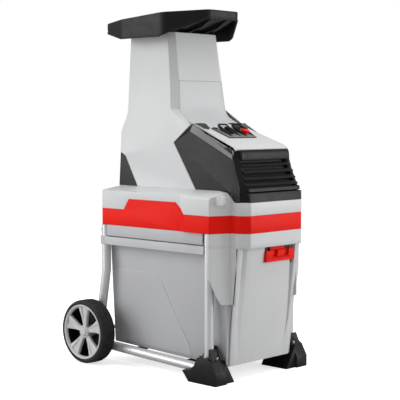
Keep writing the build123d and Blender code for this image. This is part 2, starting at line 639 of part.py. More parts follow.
# -------------------------------------------------------- chassis and cutter
def build_chassis():
    plate = block(-145, 145, -222, 176, CHASSIS_Z0, CHASSIS_Z1)
    plate -= block(*CHIP_HOLE, 380, 400)
    for sign in (-1, 1):
        x_in, x_out = sorted((sign * 143.5, sign * 147.2))
        plate += block(x_in, x_out, -224, -196, CHASSIS_Z0, 420)
        x_in, x_out = sorted((sign * 140, sign * 163.4))
        plate += block(x_in, x_out, 150, 168.2, CHASSIS_Z0, CHASSIS_Z1)
        x_in, x_out = sorted((sign * 150, sign * 163.4))
        plate += block(x_in, x_out, 165.2, 168.2, 356, CHASSIS_Z1)
        plate -= rod_x(LEG_FRONT_Y, BOLT_Z, BOLT_R + 0.2, sign * 145 - 5, sign * 145 + 5)
        plate -= rod_y(sign * TUBE_X, REAR_BOLT_Z, BOLT_R + 0.2, 160, 175)
    add("chassis_plate", plate)
    bolts = []
    for sign in (-1, 1):
        x_in, x_out = sorted((sign * 143.2, sign * 172.4))
        bolts.append(rod_x(LEG_FRONT_Y, BOLT_Z, BOLT_R, x_in, x_out)
                     + hex_head_x(LEG_FRONT_Y, BOLT_Z, sign * 141.2, 4.0))
        bolts.append(rod_y(sign * TUBE_X, REAR_BOLT_Z, BOLT_R, 162, 197.2)
                     + Pos(sign * TUBE_X, 195.4, REAR_BOLT_Z) * Rot(90, 0, 0)
                     * extrude(RegularPolygon(5.5, 6), 1.8, both=True))
        bolts.append(rod_y(sign * 154, 66, 4.0, -234, -226.5))
    add("frame_bolts", *bolts)


def hex_head_x(y, z, x_mid, thick):
    return Pos(x_mid, y, z) * Rot(0, 90, 0) * extrude(RegularPolygon(5.5, 6), thick / 2, both=True)


def build_cutter_frame():
    """Cast box round the drum, open above to the chute and below to the collection box."""
    frame = block(CUTTER_X0, CUTTER_X1, CUTTER_Y0, CUTTER_Y1, CUTTER_LOW, CUTTER_TOP)
    frame -= block(CUTTER_X0 + 7, CUTTER_X1 - 7, CUTTER_Y0 + 9, CUTTER_Y1 - 9, 390, 520)
    frame -= block(CUTTER_X0 - 1, CUTTER_X0 + 8, 45, 95, 470, 520)
    frame -= block(CUTTER_X1 - 8, CUTTER_X1 + 1, 55, 85, 475, 520)
    frame -= rod_y(DRUM_X, DRUM_Z, BEARING_R, CUTTER_Y0 - 1, CUTTER_Y1 + 1)
    frame -= rod_x(ADJUST_Y, ADJUST_Z, SPINDLE_R + 0.05, CUTTER_X1 - 10, CUTTER_X1 + 3)
    add("cutter_frame", frame)
    bearings = [tube_y(DRUM_X, DRUM_Z, BEARING_R - 0.02, DRUM_SHAFT_R + 0.05, y0, y0 + 9)
                for y0 in (CUTTER_Y0, CUTTER_Y1 - 9)]
    add("drum_bearings", *bearings)


def build_drum():
    body = rod_y(DRUM_X, DRUM_Z, DRUM_R - 8, DRUM_Y0, DRUM_Y1)
    for index in range(DRUM_BLADES):
        blade = Pos(DRUM_X, (DRUM_Y0 + DRUM_Y1) / 2, DRUM_Z) * Rot(0, index * 360 / DRUM_BLADES, 0)
        body += blade * Pos(0, 0, DRUM_R - 6) * Box(7, DRUM_Y1 - DRUM_Y0, 11)
    body &= rod_y(DRUM_X, DRUM_Z, DRUM_R, DRUM_Y0, DRUM_Y1)
    body -= rod_y(DRUM_X, DRUM_Z, DRUM_SHAFT_R, DRUM_Y0 - 1, DRUM_Y1 + 1)
    add("cutting_drum", body)
    add("drum_shaft", rod_y(DRUM_X, DRUM_Z, DRUM_SHAFT_R, -52, 146) + rod_y(DRUM_X, DRUM_Z, 12.5, 141, 143))


def build_pressure_plate():
    """Counter plate beside the drum, and the screw that moves it."""
    plate = front_prism([(28, 428), (46, 428), (46, 500), (38, 500), (28, 476)], DRUM_Y0, DRUM_Y1)
    plate += rod_x(ADJUST_Y, ADJUST_Z, 11, 45, 66)
    plate -= rod_x(ADJUST_Y, ADJUST_Z, SPINDLE_R + 0.05, 36, 70)
    add("pressure_plate", plate)
    spindle = rod_x(ADJUST_Y, ADJUST_Z, SPINDLE_R, 44, 186)
    spindle += rod_x(ADJUST_Y, ADJUST_Z, 10, 97, 100)
    add("adjusting_spindle", spindle)
    knob = rod_x(ADJUST_Y, ADJUST_Z, 20, 173, 190)
    for index in range(8):
        knob -= (Pos(0, ADJUST_Y, ADJUST_Z) * Rot(index * 45, 0, 0) * Pos(181, 0, 22) * Rot(0, 90, 0)
                 * Cylinder(5, 30))
    knob -= rod_x(ADJUST_Y, ADJUST_Z, SPINDLE_R, 160, 186)
    add("adjusting_knob", knob)


# ------------------------------------------------------------ gears and motor
def involute_point(base_radius, radius, sign, turn):
    """Point at radius on a tooth flank of the given base circle."""
    if radius <= base_radius:
        spread = 0.0
    else:
        roll = (radius * radius / base_radius ** 2 - 1) ** 0.5
        spread = roll - atan2(roll, 1)
    angle = turn - sign * spread
    return radius * cos(angle), radius * sin(angle)


def gear(x, z, teeth, y0, y1, mesh_angle):
    """Spur gear about Y, with a tooth centred on mesh_angle (degrees, x towards z)."""
    pitch = GEAR_MODULE * teeth / 2
    base = pitch * cos(radians(20))
    root, tip = pitch - 1.15 * GEAR_MODULE, pitch + 0.8 * GEAR_MODULE
    roll = tan(radians(20))
    half_tooth = (pi * GEAR_MODULE / 2 - 0.3) / 2 / pitch + roll - atan2(roll, 1)
    start = max(base, root)
    steps = [start + (tip - start) * k / 4 for k in range(5)]
    points = []
    for tooth in range(teeth):
        centre = 2 * pi * tooth / teeth
        rising = [involute_point(base, r, -1, centre - half_tooth) for r in steps]
        falling = [involute_point(base, r, 1, centre + half_tooth) for r in reversed(steps)]
        foot0 = (root * cos(centre - half_tooth), root * sin(centre - half_tooth))
        foot1 = (root * cos(centre + half_tooth), root * sin(centre + half_tooth))
        points += [foot0] + rising + falling + [foot1]
    turn = radians(mesh_angle)
    outline = [(px * cos(turn) - pz * sin(turn), px * sin(turn) + pz * cos(turn)) for px, pz in points]
    return front_prism([(x + px, z + pz) for px, pz in outline], y0, y1)


def lay_centre():
    """Axis of the lay shaft, the same distance from the motor's and the drum's."""
    dx, dz = MOTOR_X - DRUM_X, MOTOR_Z - DRUM_Z
    apart = hypot(dx, dz)
    reach = (GEAR_CENTRES ** 2 - apart ** 2 / 4) ** 0.5
    return ((MOTOR_X + DRUM_X) / 2 + reach * dz / apart, (MOTOR_Z + DRUM_Z) / 2 - reach * dx / apart)


LAY_X, LAY_Z = lay_centre()


def line_angle(x0, z0, x1, z1):
    return degrees(atan2(z1 - z0, x1 - x0))


def build_gears():
    to_lay = line_angle(MOTOR_X, MOTOR_Z, LAY_X, LAY_Z)
    motor_shaft = rod_y(MOTOR_X, MOTOR_Z, SHAFT_R, MOTOR_Y0 - 1, STAGE_1[1] + 1)
    add("motor_shaft", motor_shaft + gear(MOTOR_X, MOTOR_Z, PINION_TEETH, *STAGE_1, to_lay))
    half_pitch = 180 / WHEEL_TEETH
    lay_gear = gear(LAY_X, LAY_Z, WHEEL_TEETH, STAGE_1[0] + 1, STAGE_1[1] - 1, to_lay + 180 + half_pitch)
    add("lay_gear", lay_gear - rod_y(LAY_X, LAY_Z, SHAFT_R, *CASE_SPAN))
    to_drum = line_angle(LAY_X, LAY_Z, DRUM_X, DRUM_Z)
    lay_shaft = rod_y(LAY_X, LAY_Z, SHAFT_R, CASE_Y0 + 1, CASE_Y1 - 0.5)
    add("lay_shaft", lay_shaft + gear(LAY_X, LAY_Z, PINION_TEETH, *STAGE_2, to_drum))
    drum_gear = gear(DRUM_X, DRUM_Z, WHEEL_TEETH, STAGE_2[0] + 1, STAGE_2[1] - 1,
                     to_drum + 180 + half_pitch)
    add("drum_gear", drum_gear - rod_y(DRUM_X, DRUM_Z, DRUM_SHAFT_R, *CASE_SPAN))


def build_gear_case():
    case = block(CASE_X0, CASE_X1, CASE_Y0, CASE_Y1 - 5.3, CASE_LOW, CASE_TOP)
    case -= block(CASE_X0 + 5, CASE_X1 - 5, CASE_Y0 + 5, CASE_Y1, CASE_LOW + 5, CASE_TOP - 5)
    case -= rod_y(MOTOR_X, MOTOR_Z, SHAFT_R + 0.05, CASE_Y0 - 1, CASE_Y0 + 6)
    case -= rod_y(LAY_X, LAY_Z, SHAFT_R + 0.05, CASE_Y0 + 0.5, CASE_Y0 + 6)
    add("gear_case", case)
    cover = block(CASE_X0, CASE_X1, CASE_Y1 - 5, CASE_Y1, CASE_LOW, CASE_TOP)
    cover -= rod_y(DRUM_X, DRUM_Z, DRUM_SHAFT_R + 0.05, CASE_Y1 - 6, CASE_Y1 + 1)
    cover -= rod_y(LAY_X, LAY_Z, SHAFT_R + 0.05, CASE_Y1 - 6, CASE_Y1 - 0.4)
    add("gear_case_cover", cover)


def build_motor():
    shell = tube_y(MOTOR_X, MOTOR_Z, MOTOR_R, MOTOR_R - 4, MOTOR_Y0 + 5.3, MOTOR_Y1 - 5.3)
    add("motor_shell", shell)
    shields = []
    for y0 in (MOTOR_Y0, MOTOR_Y1 - 5):
        shield = tube_y(MOTOR_X, MOTOR_Z, MOTOR_R, SHAFT_R + 0.05, y0, y0 + 5)
        for index in range(6):
            shield -= (Pos(MOTOR_X, y0, MOTOR_Z) * Rot(0, index * 60, 0) * Pos(0, 0, 38) * Rot(90, 0, 0)
                       * Cylinder(8, 30))
        shields.append(shield)
    add("motor_end_shields", *shields)
    stator = tube_y(MOTOR_X, MOTOR_Z, MOTOR_R - 4.2, 34, -190, -120)
    add("motor_stator", stator)
    rotor = rod_y(MOTOR_X, MOTOR_Z, 33, -188, -122) - rod_y(MOTOR_X, MOTOR_Z, SHAFT_R, -190, -120)
    add("motor_rotor", rotor)
    fan = rod_y(MOTOR_X, MOTOR_Z, 14, -218, -204)
    for index in range(7):
        fan += (Pos(MOTOR_X, -211, MOTOR_Z) * Rot(0, index * 360 / 7, 0) * Pos(0, 0, 30) * Box(3, 14, 36))
    fan -= rod_y(MOTOR_X, MOTOR_Z, SHAFT_R, -220, -200)
    add("cooling_fan", fan)
    cradle = rod_y(MOTOR_X, MOTOR_Z, MOTOR_R + 0.2, -240, -80)
    saddles = [block(-40, 40, y0, y0 + 14, CHASSIS_Z1 + 0.3, 470) - cradle for y0 in (-210.0, -130.0)]
    add("motor_saddles", *saddles)
    add("capacitor", rod_y(-88, 540, 15, -196, -124))


# ------------------------------------------------------------- control plate
def build_controls():
    g = GAP
    plate = deck_block(PANEL_X0 + g, PANEL_X1 - g, PANEL_V0 + g, PANEL_V1 - g, -3.5, 1.5)
    outer, inner = MODULE_HALF, MODULE_HALF - MODULE_WALL
    slope = Plane.YZ * polygon([(-45, 1), (-45, 30), (40, 30), (24, 16), (-38, 3)])
    for x in (KNOB_X, STOP_X):
        module = deck_block(x - outer, x + outer, -38, 33, 1, 16)
        module -= deck_block(x - inner, x + inner, -40, 29, 1.5, 20)
        module -= DECK * (Pos(x - 30, 0, 0) * extrude(slope, 60))
        plate += module
    plate -= deck_rod(KNOB_X, KNOB_V, 5.0 + 0.05, -6, 4)
    plate -= deck_rod(STOP_X, STOP_V, STOP_R + 0.3, -6, 4)
    plate -= deck_rod(START_X, START_V, START_R + 0.3, -6, 4)
    add("control_plate", plate)
    knob = deck_rod(KNOB_X, KNOB_V, KNOB_R, 1.9, 8) + deck_rod(KNOB_X, KNOB_V, 5.0, -5, 3)
    grip = deck_block(KNOB_X - 5, KNOB_X + 5, KNOB_V - KNOB_R, KNOB_V + KNOB_R, 5, 18)
    knob += grip & deck_rod(KNOB_X, KNOB_V, KNOB_R, 4, 19)
    add("direction_knob", knob)
    add("stop_button", deck_rod(STOP_X, STOP_V, STOP_R, -3, 12))
    add("start_button", deck_rod(START_X, START_V, START_R, -3, 8))
    box = deck_block(-50, 46, -36, 28, -34, -8)
    box -= deck_block(-47, 43, -33, 25, -31, -11)
    for x, v, radius in ((KNOB_X, KNOB_V, 8), (STOP_X, STOP_V, 13), (START_X, START_V, 9)):
        box -= deck_rod(x, v, radius, -14, -5)
    add("switch_box", box)


def build_screws():
    """Screws in the tower's rear wall."""
    screws = [rod_y(x, z, SCREW_R, y - 6, y + 0.1) + rod_y(x, z, 4.2, y + 0.1, y + 2.4)
              for x, y, z in SCREW_PLACES]
    add("housing_screws", *screws)


PARTS = [
    build_base_housing, build_red_band, build_tower, build_deck, build_motor_cover, build_cheeks,
    build_mains_inlet, build_rear_cover, build_hood, build_chute, build_frame, build_rails, build_feet,
    build_wheels, build_bin, build_box_front, build_latch, build_chassis, build_cutter_frame, build_drum,
    build_pressure_plate, build_gears, build_gear_case, build_motor, build_controls, build_screws,
]

for build in PARTS:
    build()

os.makedirs("parts", exist_ok=True)
for node_name, node_shape in NODES.items():
    export_step(node_shape, f"parts/{node_name}.step")
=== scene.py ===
import bmesh
import bpy
import json
from math import cos, pi, radians, sin, tan
from mathutils import Matrix, Vector


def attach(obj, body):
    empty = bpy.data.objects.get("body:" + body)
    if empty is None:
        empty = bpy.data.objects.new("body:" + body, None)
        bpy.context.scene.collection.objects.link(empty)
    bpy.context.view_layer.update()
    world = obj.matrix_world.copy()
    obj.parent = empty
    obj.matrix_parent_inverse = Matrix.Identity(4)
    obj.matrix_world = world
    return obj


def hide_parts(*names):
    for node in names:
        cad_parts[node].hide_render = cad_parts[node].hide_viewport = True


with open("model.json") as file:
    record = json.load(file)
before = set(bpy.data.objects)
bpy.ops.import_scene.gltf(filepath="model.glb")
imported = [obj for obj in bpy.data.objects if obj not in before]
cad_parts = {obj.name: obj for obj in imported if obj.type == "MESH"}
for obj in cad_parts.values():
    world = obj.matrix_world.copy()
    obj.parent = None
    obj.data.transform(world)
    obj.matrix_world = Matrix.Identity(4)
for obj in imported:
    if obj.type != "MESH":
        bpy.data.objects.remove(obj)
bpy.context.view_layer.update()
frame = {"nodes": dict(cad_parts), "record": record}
MM = 0.001

# Driving dimensions, in millimetres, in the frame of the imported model.
# Hood: its rim falls from the front edge to the rear edge.
HOOD_CORNERS = [(57.0, -113.0), (139.0, -18.0), (139.0, 140.0), (110.0, 235.0)]
HOOD_RADII = [26.0, 34.0, 34.0, 22.0]
HOOD_TOP, HOOD_FALL, HOOD_FRONT_Y, HOOD_LENGTH = 964.0, 24.0, -113.0, 348.0
THROAT_CORNERS = [(77.0, 7.0), (86.0, 16.0), (86.0, 132.0), (77.0, 141.0)]
THROAT_Z, NECK_LOW = 913.0, 882.0
# Tower: its sides lean in from the shoulder; its front has a seam, and a hollow below it.
SEAM_Z, HOLLOW_TOP, SHOULDER_TOP = 778.0, 701.0, 492.0
TOWER_HALF, TOWER_LEAN = 120.0, 0.0633
# Deck: its slope and a point on its face, then the control plate's reach across and along it.
DECK_SLOPE = radians(20.0)
DECK_MID = Vector((0.0, -150.0, 640.5))
PANEL_X, PANEL_V = (-61.5, 45.5), (-43.5, 30.0)
# Cheeks: thickness, then the rear end (y, z) of the straight upper edge, its drop and its run.
CHEEK_THICK = 8.0
CHEEK_REAR, CHEEK_FRONT_DROP, CHEEK_RUN = (-98.0, 663.0), 78.0, 145.0
# Wheels and tube frames.
AXLE_BORE = 5.3
AXLE = Vector((0.0, 211.0, 88.0))
WHEEL_MID, WHEEL_HALF, WHEEL_R, RIM_R = 202.0, 24.0, 88.0, 76.0
SPOKES = 5
TUBE_X, TUBE_R, TUBE_BORE, BEND_R = 160.0, 12.5, 11.0, 45.0
# Collection box: the panel's foot (y, z) and how far it leans out over its height;
# the bin's half width at its foot, and how far its sides lean out over their height.
PANEL_FOOT, PANEL_OUT, PANEL_TALL = (-243.0, 42.0), 34.0, 305.0
BIN_HALF, BIN_FOOT_Z, BIN_OUT, BIN_TALL = 127.0, 41.0, 19.0, 345.0
BOX_RIM_LOW, BOX_RIM_TOP = 347.0, 385.7
SHEET = 3.0


# ------------------------------------------------------------------ materials
def rgb(red, green, blue):
    """Linear colour from 0 to 255 display values."""
    return tuple(((v / 255 + 0.055) / 1.055) ** 2.4 if v > 10 else v / 255 / 12.92
                 for v in (red, green, blue)) + (1.0,)


class Graph:
    """Small helper that adds and joins the nodes of one material."""

    def __init__(self, name, roughness, metallic=0.0, coat=0.0, specular=0.5):
        self.material = bpy.data.materials.new(name)
        self.material.use_nodes = True
        self.nodes = self.material.node_tree.nodes
        self.links = self.material.node_tree.links
        self.shader = self.nodes["Principled BSDF"]
        self.shader.inputs["Roughness"].default_value = roughness
        self.shader.inputs["Metallic"].default_value = metallic
        self.shader.inputs["Coat Weight"].default_value = coat
        self.shader.inputs["Specular IOR Level"].default_value = specular
        self.place = self.nodes.new("ShaderNodeTexCoord").outputs["Object"]

    def noise(self, scale, detail=3.0, stretch=None):
        node = self.nodes.new("ShaderNodeTexNoise")
        node.inputs["Scale"].default_value = scale
        node.inputs["Detail"].default_value = detail
        source = self.place
        if stretch:
            mapping = self.nodes.new("ShaderNodeMapping")
            mapping.inputs["Scale"].default_value = stretch
            self.links.new(self.place, mapping.inputs["Vector"])
            source = mapping.outputs["Vector"]
        self.links.new(source, node.inputs["Vector"])
        return node.outputs["Fac"]

    def ramp(self, value, stops):
        node = self.nodes.new("ShaderNodeValToRGB")
        elements = node.color_ramp.elements
        while len(elements) < len(stops):
            elements.new(0.5)
        for element, (position, colour) in zip(elements, stops):
            element.position = position
            element.color = colour
        self.links.new(value, node.inputs["Fac"])
        return node.outputs["Color"]

    def spread(self, value, low, high):
        """Maps 0.3..0.7 of a noise to low..high."""
        node = self.nodes.new("ShaderNodeMapRange")
        node.inputs["From Min"].default_value = 0.3
        node.inputs["From Max"].default_value = 0.7
        node.inputs["To Min"].default_value = low
        node.inputs["To Max"].default_value = high
        self.links.new(value, node.inputs["Value"])
        return node.outputs["Result"]

    def set(self, socket, value):
        self.links.new(value, self.shader.inputs[socket])

    def tint(self, value, colour, shade, high=0.7):
        """Base colour that rises from a shade of the colour, at 0.3, to the colour itself."""
        dark = rgb(*[c * shade for c in colour])
        self.set("Base Color", self.ramp(value, [(0.3, dark), (high, rgb(*colour))]))

    def bump(self, heights, edge=0.0):
        """Adds fine relief, each height a pair (value, depth in metres), over softened edges."""
        normal = None
        if edge:
            bevel = self.nodes.new("ShaderNodeBevel")
            bevel.samples = 4
            bevel.inputs["Radius"].default_value = edge
            normal = bevel.outputs["Normal"]
        for value, depth in heights:
            node = self.nodes.new("ShaderNodeBump")
            node.inputs["Distance"].default_value = depth
            node.inputs["Strength"].default_value = 1.0
            self.links.new(value, node.inputs["Height"])
            if normal:
                self.links.new(normal, node.inputs["Normal"])
            normal = node.outputs["Normal"]
        self.set("Normal", normal)


def moulded_plastic(name, colour, shade, roughness, grain, coat=0.0, edge=0.0012, specular=0.5):
    """Moulded plastic: spark-eroded grain, faint flow clouds and uneven gloss."""
    g = Graph(name, roughness, coat=coat, specular=specular)
    g.tint(g.noise(7.0, 2.0), colour, shade)
    g.set("Roughness", g.spread(g.noise(60.0, 4.0), roughness - 0.05, roughness + 0.06))
    g.bump([(g.noise(900.0, 2.0), grain), (g.noise(25.0, 2.0), grain * 3)], edge)
    return g.material


def brushed_metal(name, colour, shade, roughness, stretch, metallic=1.0, depth=0.00001):
    """Metal with drawing lines along one direction and a little tarnish."""
    g = Graph(name, roughness, metallic=metallic)
    lines = g.noise(120.0, 4.0, stretch)
    g.tint(g.noise(9.0, 4.0), colour, shade, 0.75)
    g.set("Roughness", g.spread(lines, roughness - 0.03, roughness + 0.04))
    g.bump([(lines, depth)], 0.0006)
    return g.material


def rough_casting(name, colour, shade, roughness, scale, depth, metallic=0.6):
    """Sand-cast or painted metal with a pitted skin."""
    g = Graph(name, roughness, metallic=metallic)
    g.tint(g.noise(30.0, 5.0), colour, shade)
    g.set("Roughness", g.spread(g.noise(90.0), roughness - 0.08, roughness + 0.1))
    g.bump([(g.noise(scale, 5.0), depth)], 0.0008)
    return g.material


def tyre_rubber():
    """Hard rubber: dull, dusty in its pores."""
    g = Graph("tyre_rubber", 0.78, specular=0.3)
    g.set("Base Color", g.ramp(g.noise(40.0, 5.0), [(0.3, rgb(38, 39, 39)), (0.7, rgb(54, 55, 55))]))
    g.set("Roughness", g.spread(g.noise(200.0), 0.7, 0.9))
    g.bump([(g.noise(700.0, 3.0), 0.00006)], 0.0010)
    return g.material


def copper_winding():
    """Layers of enamelled wire round the motor's axis."""
    g = Graph("copper_winding", 0.35, metallic=1.0)
    wave = g.nodes.new("ShaderNodeTexWave")
    wave.wave_type = "RINGS"
    wave.rings_direction = "Y"
    wave.inputs["Scale"].default_value = 180.0
    g.links.new(g.place, wave.inputs["Vector"])
    g.set("Base Color", g.ramp(wave.outputs["Fac"], [(0.1, rgb(96, 44, 22)), (0.8, rgb(196, 112, 62))]))
    g.bump([(wave.outputs["Fac"], 0.0003)])
    return g.material


MATERIALS = {
    "light_housing": moulded_plastic("light_housing", (222, 223, 224), 0.985, 0.42, 0.000025, edge=0.0022),
    "box_plastic": moulded_plastic("box_plastic", (196, 197, 199), 0.98, 0.46, 0.00003, edge=0.0015),
    "box_front_plastic": moulded_plastic("box_front_plastic", (218, 219, 220), 0.98, 0.44, 0.000025,
                                         edge=0.0015),
    "red_plastic": moulded_plastic("red_plastic", (250, 26, 12), 0.98, 0.42, 0.00002, edge=0.002,
                                   specular=0.1),
    "black_plastic": moulded_plastic("black_plastic", (21, 22, 22), 0.85, 0.42, 0.00004, specular=0.25),
    "dark_grey_plastic": moulded_plastic("dark_grey_plastic", (50, 50, 50), 0.95, 0.5, 0.00004,
                                         specular=0.25),
    "tube_aluminium": brushed_metal("tube_aluminium", (226, 227, 229), 0.97, 0.42, (1.0, 1.0, 0.05),
                                    metallic=0.6),
    "steel_zinc": brushed_metal("steel_zinc", (190, 194, 198), 0.85, 0.35, (0.05, 1.0, 1.0)),
    "steel_dark": rough_casting("steel_dark", (70, 72, 76), 0.75, 0.5, 220.0, 0.00008),
    "cast_case": rough_casting("cast_case", (150, 152, 154), 0.85, 0.55, 260.0, 0.00014),
    "cutter_steel": brushed_metal("cutter_steel", (150, 152, 156), 0.7, 0.32, (1.0, 0.04, 1.0)),
    "tyre_rubber": tyre_rubber(),
    "rim_plastic": moulded_plastic("rim_plastic", (212, 213, 214), 0.97, 0.36, 0.00002, coat=0.1),
    "copper_winding": copper_winding(),
}
# Lighter grey: the control plate's own colour, and also a painted highlight on the cheeks' bevels and the
# flanks' ridges.
GREY_TRIM_AND_PAINTED_HIGHLIGHT = moulded_plastic("grey_trim_and_painted_highlight", (132, 132, 132), 0.96, 0.42, 0.00003)
RAIL_COAT = brushed_metal("rail_coat", (198, 199, 201), 0.97, 0.5, (1.0, 0.05, 1.0), metallic=0.15)
SLOT_OF = {row["node"]: row["material_slot"] for row in frame["record"]["subparts"]}
BODY_OF = {node: body for body, nodes in frame["record"]["behaviour"]["bodies"].items() for node in nodes}


def mix_for_camera(nodes, links, unseen, seen, surface):
    """The camera gets one shader, and every other ray the other."""
    choice = nodes.new("ShaderNodeMixShader")
    links.new(nodes.new("ShaderNodeLightPath").outputs["Is Camera Ray"], choice.inputs[0])
    links.new(unseen.outputs[0], choice.inputs[1])
    links.new(seen.outputs[0], choice.inputs[2])
    links.new(choice.outputs[0], surface)


# --------------------------------------------------------------- mesh helpers
def finish_mesh(name, node, vertices, faces, sharp=32.0):
    """Object from millimetre points that stands for one CAD node and rides on its body."""
    return dress(name, node, mesh_of(vertices, faces), sharp=sharp)


def mesh_of(vertices, faces, second=None):
    """Mesh from millimetre points; second gives each face's material number."""
    mesh = bpy.data.meshes.new("shape")
    mesh.from_pydata([Vector(p) * MM for p in vertices], [], faces)
    if second is not None:
        mesh.polygons.foreach_set("material_index", [int(flag) for flag in second])
    return mesh


def joined(*meshes):
    """One mesh from several, with their material numbers."""
    body = bmesh.new()
    for mesh in meshes:
        body.from_mesh(mesh)
    whole = bpy.data.meshes.new("joined")
    body.to_mesh(whole)
    body.free()
    return whole


def dress(name, node, mesh, extra=(), sharp=32.0):
    """Clean normals, smooth shading, the slot's material, and the node that it stands for."""
    tidy = bmesh.new()
    tidy.from_mesh(mesh)
    bmesh.ops.remove_doubles(tidy, verts=tidy.verts, dist=1e-6)
    bmesh.ops.dissolve_degenerate(tidy, dist=1e-7, edges=tidy.edges)
    bmesh.ops.recalc_face_normals(tidy, faces=tidy.faces)
    tidy.to_mesh(mesh)
    tidy.free()
    mesh.shade_smooth()
    mesh.set_sharp_from_angle(angle=radians(sharp))
    mesh.name = name
    piece = bpy.data.objects.new(name, mesh)
    bpy.context.scene.collection.objects.link(piece)
    slot = SLOT_OF[node]
    numbers = [face.material_index if extra else 0 for face in mesh.polygons]
    mesh.materials.clear()
    for material in [MATERIALS[slot], *extra]:
        mesh.materials.append(material)
    mesh.polygons.foreach_set("material_index", numbers)
    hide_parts(node)
    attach(piece, BODY_OF[node])
    return piece


def thickened(vertices, faces, thickness, outward, second=None):
    """Closed shell from an open sheet that faces outward."""
    mesh = mesh_of(vertices, faces, second)
    body = bmesh.new()
    body.from_mesh(mesh)
    bmesh.ops.recalc_face_normals(body, faces=body.faces)
    if sum((f.normal * f.calc_area() for f in body.faces), Vector()).dot(outward) < 0:
        bmesh.ops.reverse_faces(body, faces=body.faces)
    body.to_mesh(mesh)
    body.free()
    holder = bpy.data.objects.new("holder", mesh)
    bpy.context.scene.collection.objects.link(holder)
    solidify = holder.modifiers.new("wall", "SOLIDIFY")
    solidify.thickness = thickness * MM
    solidify.offset = -1.0
    shell = bpy.data.meshes.new_from_object(holder.evaluated_get(bpy.context.evaluated_depsgraph_get()))
    bpy.data.objects.remove(holder)
    return shell


def loft(rings, wrap=False, closed=True, cap_ends=False):
    """Vertices and quads between equal rings; wrap joins the last ring to the first."""
    count = len(rings[0])
    vertices = [p for ring in rings for p in ring]
    faces = []
    ring_pairs = len(rings) if wrap else len(rings) - 1
    for k in range(ring_pairs):
        a, b = k * count, (k + 1) % len(rings) * count
        for i in range(count if closed else count - 1):
            j = (i + 1) % count
            faces.append((a + i, a + j, b + j, b + i))
    if cap_ends:
        faces.append(tuple(range(count))[::-1])
        faces.append(tuple(range((len(rings) - 1) * count, len(rings) * count)))
    return vertices, faces


def merged(*shapes):
    """Several (vertices, faces) shapes as one."""
    vertices, faces = [], []
    for points, polygons in shapes:
        start = len(vertices)
        vertices += points
        faces += [tuple(i + start for i in polygon) for polygon in polygons]
    return vertices, faces


def moved(shape, matrix):
    vertices, faces = shape
    return [matrix @ Vector(v) for v in vertices], faces


def arc_corner(before, corner, after, radius, steps):
    """Points of the arc that rounds one corner of a plan outline."""
    p, q, r = Vector(before), Vector(corner), Vector(after)
    to_p, to_r = (p - q).normalized(), (r - q).normalized()
    turn = to_p.angle(to_r)
    reach = min(radius / tan(turn / 2), 0.49 * (p - q).length, 0.49 * (r - q).length)
    radius = reach * tan(turn / 2)
    centre = q + (to_p + to_r).normalized() * (radius / sin(turn / 2))
    start, end = q + to_p * reach - centre, q + to_r * reach - centre
    sweep = pi - turn
    points = []
    for k in range(steps + 1):
        weight = k / steps
        point = (start * sin((1 - weight) * sweep) + end * sin(weight * sweep)) / sin(sweep)
        points.append(centre + point)
    return points


def rounded(corners, radii, steps=6):
    """Outline with every corner rounded; the same count of points for every size."""
    count = len(corners)
    points = []
    for k in range(count):
        points += arc_corner(corners[k - 1], corners[k], corners[(k + 1) % count], radii[k], steps)
    return points


def along(stops, at):
    """Straight-line value between (place, value) stops."""
    if at <= stops[0][0]:
        return stops[0][1]
    for (p0, v0), (p1, v1) in zip(stops, stops[1:]):
        if at <= p1:
            return v0 + (v1 - v0) * (at - p0) / (p1 - p0)
    return stops[-1][1]


def mirrored(half):
    return half + [(-x, y) for x, y in reversed(half)]


def softened(node, width):
    """Copy of a CAD node with its edges over 12 mm and 20 degrees rounded."""
    mesh = frame["nodes"][node].data.copy()
    body = bmesh.new()
    body.from_mesh(mesh)
    bmesh.ops.remove_doubles(body, verts=body.verts, dist=1e-6)
    bmesh.ops.dissolve_limit(body, angle_limit=radians(1.0), verts=body.verts, edges=body.edges)
    bmesh.ops.recalc_face_normals(body, faces=body.faces)
    edges = [e for e in body.edges if e.is_manifold and e.calc_face_angle(0.0) > radians(20.0)
             and e.calc_length() > 12.0 * MM]
    bmesh.ops.bevel(body, geom=edges, offset=width * MM, offset_type="OFFSET", segments=3,
                    profile=0.5, affect="EDGES", clamp_overlap=True)
    body.to_mesh(mesh)
    body.free()
    return dress(node + "_shell", node, mesh)


# ----------------------------------------------------------------------- hood
def hood_z(y):
    """Height of the hood's rim, which falls a little to the rear."""
    return HOOD_TOP - HOOD_FALL * (y - HOOD_FRONT_Y) / HOOD_LENGTH


SKIRT_LOW = [(-113.0, 941.0), (-44.0, 909.0), (-5.0, 893.0), (145.0, 893.0), (235.0, 914.0)]


def skirt_low(y):
    """Lower edge of the hood's skirt: highest at the front, lowest beside the tower."""
    return along(SKIRT_LOW, y)


def inset_plan(corners, i):
    """Both sides' corners of a plan, moved inwards by i."""
    (x0, y0), (x1, y1), (x2, y2), (x3, y3) = corners
    return mirrored([(x0 - i * 0.4, y0 + i), (x1 - i, y1 + i * 0.3), (x2 - i, y2 - i * 0.2),
                     (x3 - i * 0.8, y3 - i)])


def hood_ring(inset, height):
    plan = rounded(inset_plan(HOOD_CORNERS, inset), HOOD_RADII + HOOD_RADII[::-1], 8)
    return [Vector((p.x, p.y, height(p.y))) for p in plan]


def throat_ring(grow, z):
    plan = rounded(inset_plan(THROAT_CORNERS, -grow), [9.0 + grow] * 8, 8)
    return [Vector((p.x, p.y, z)) for p in plan]


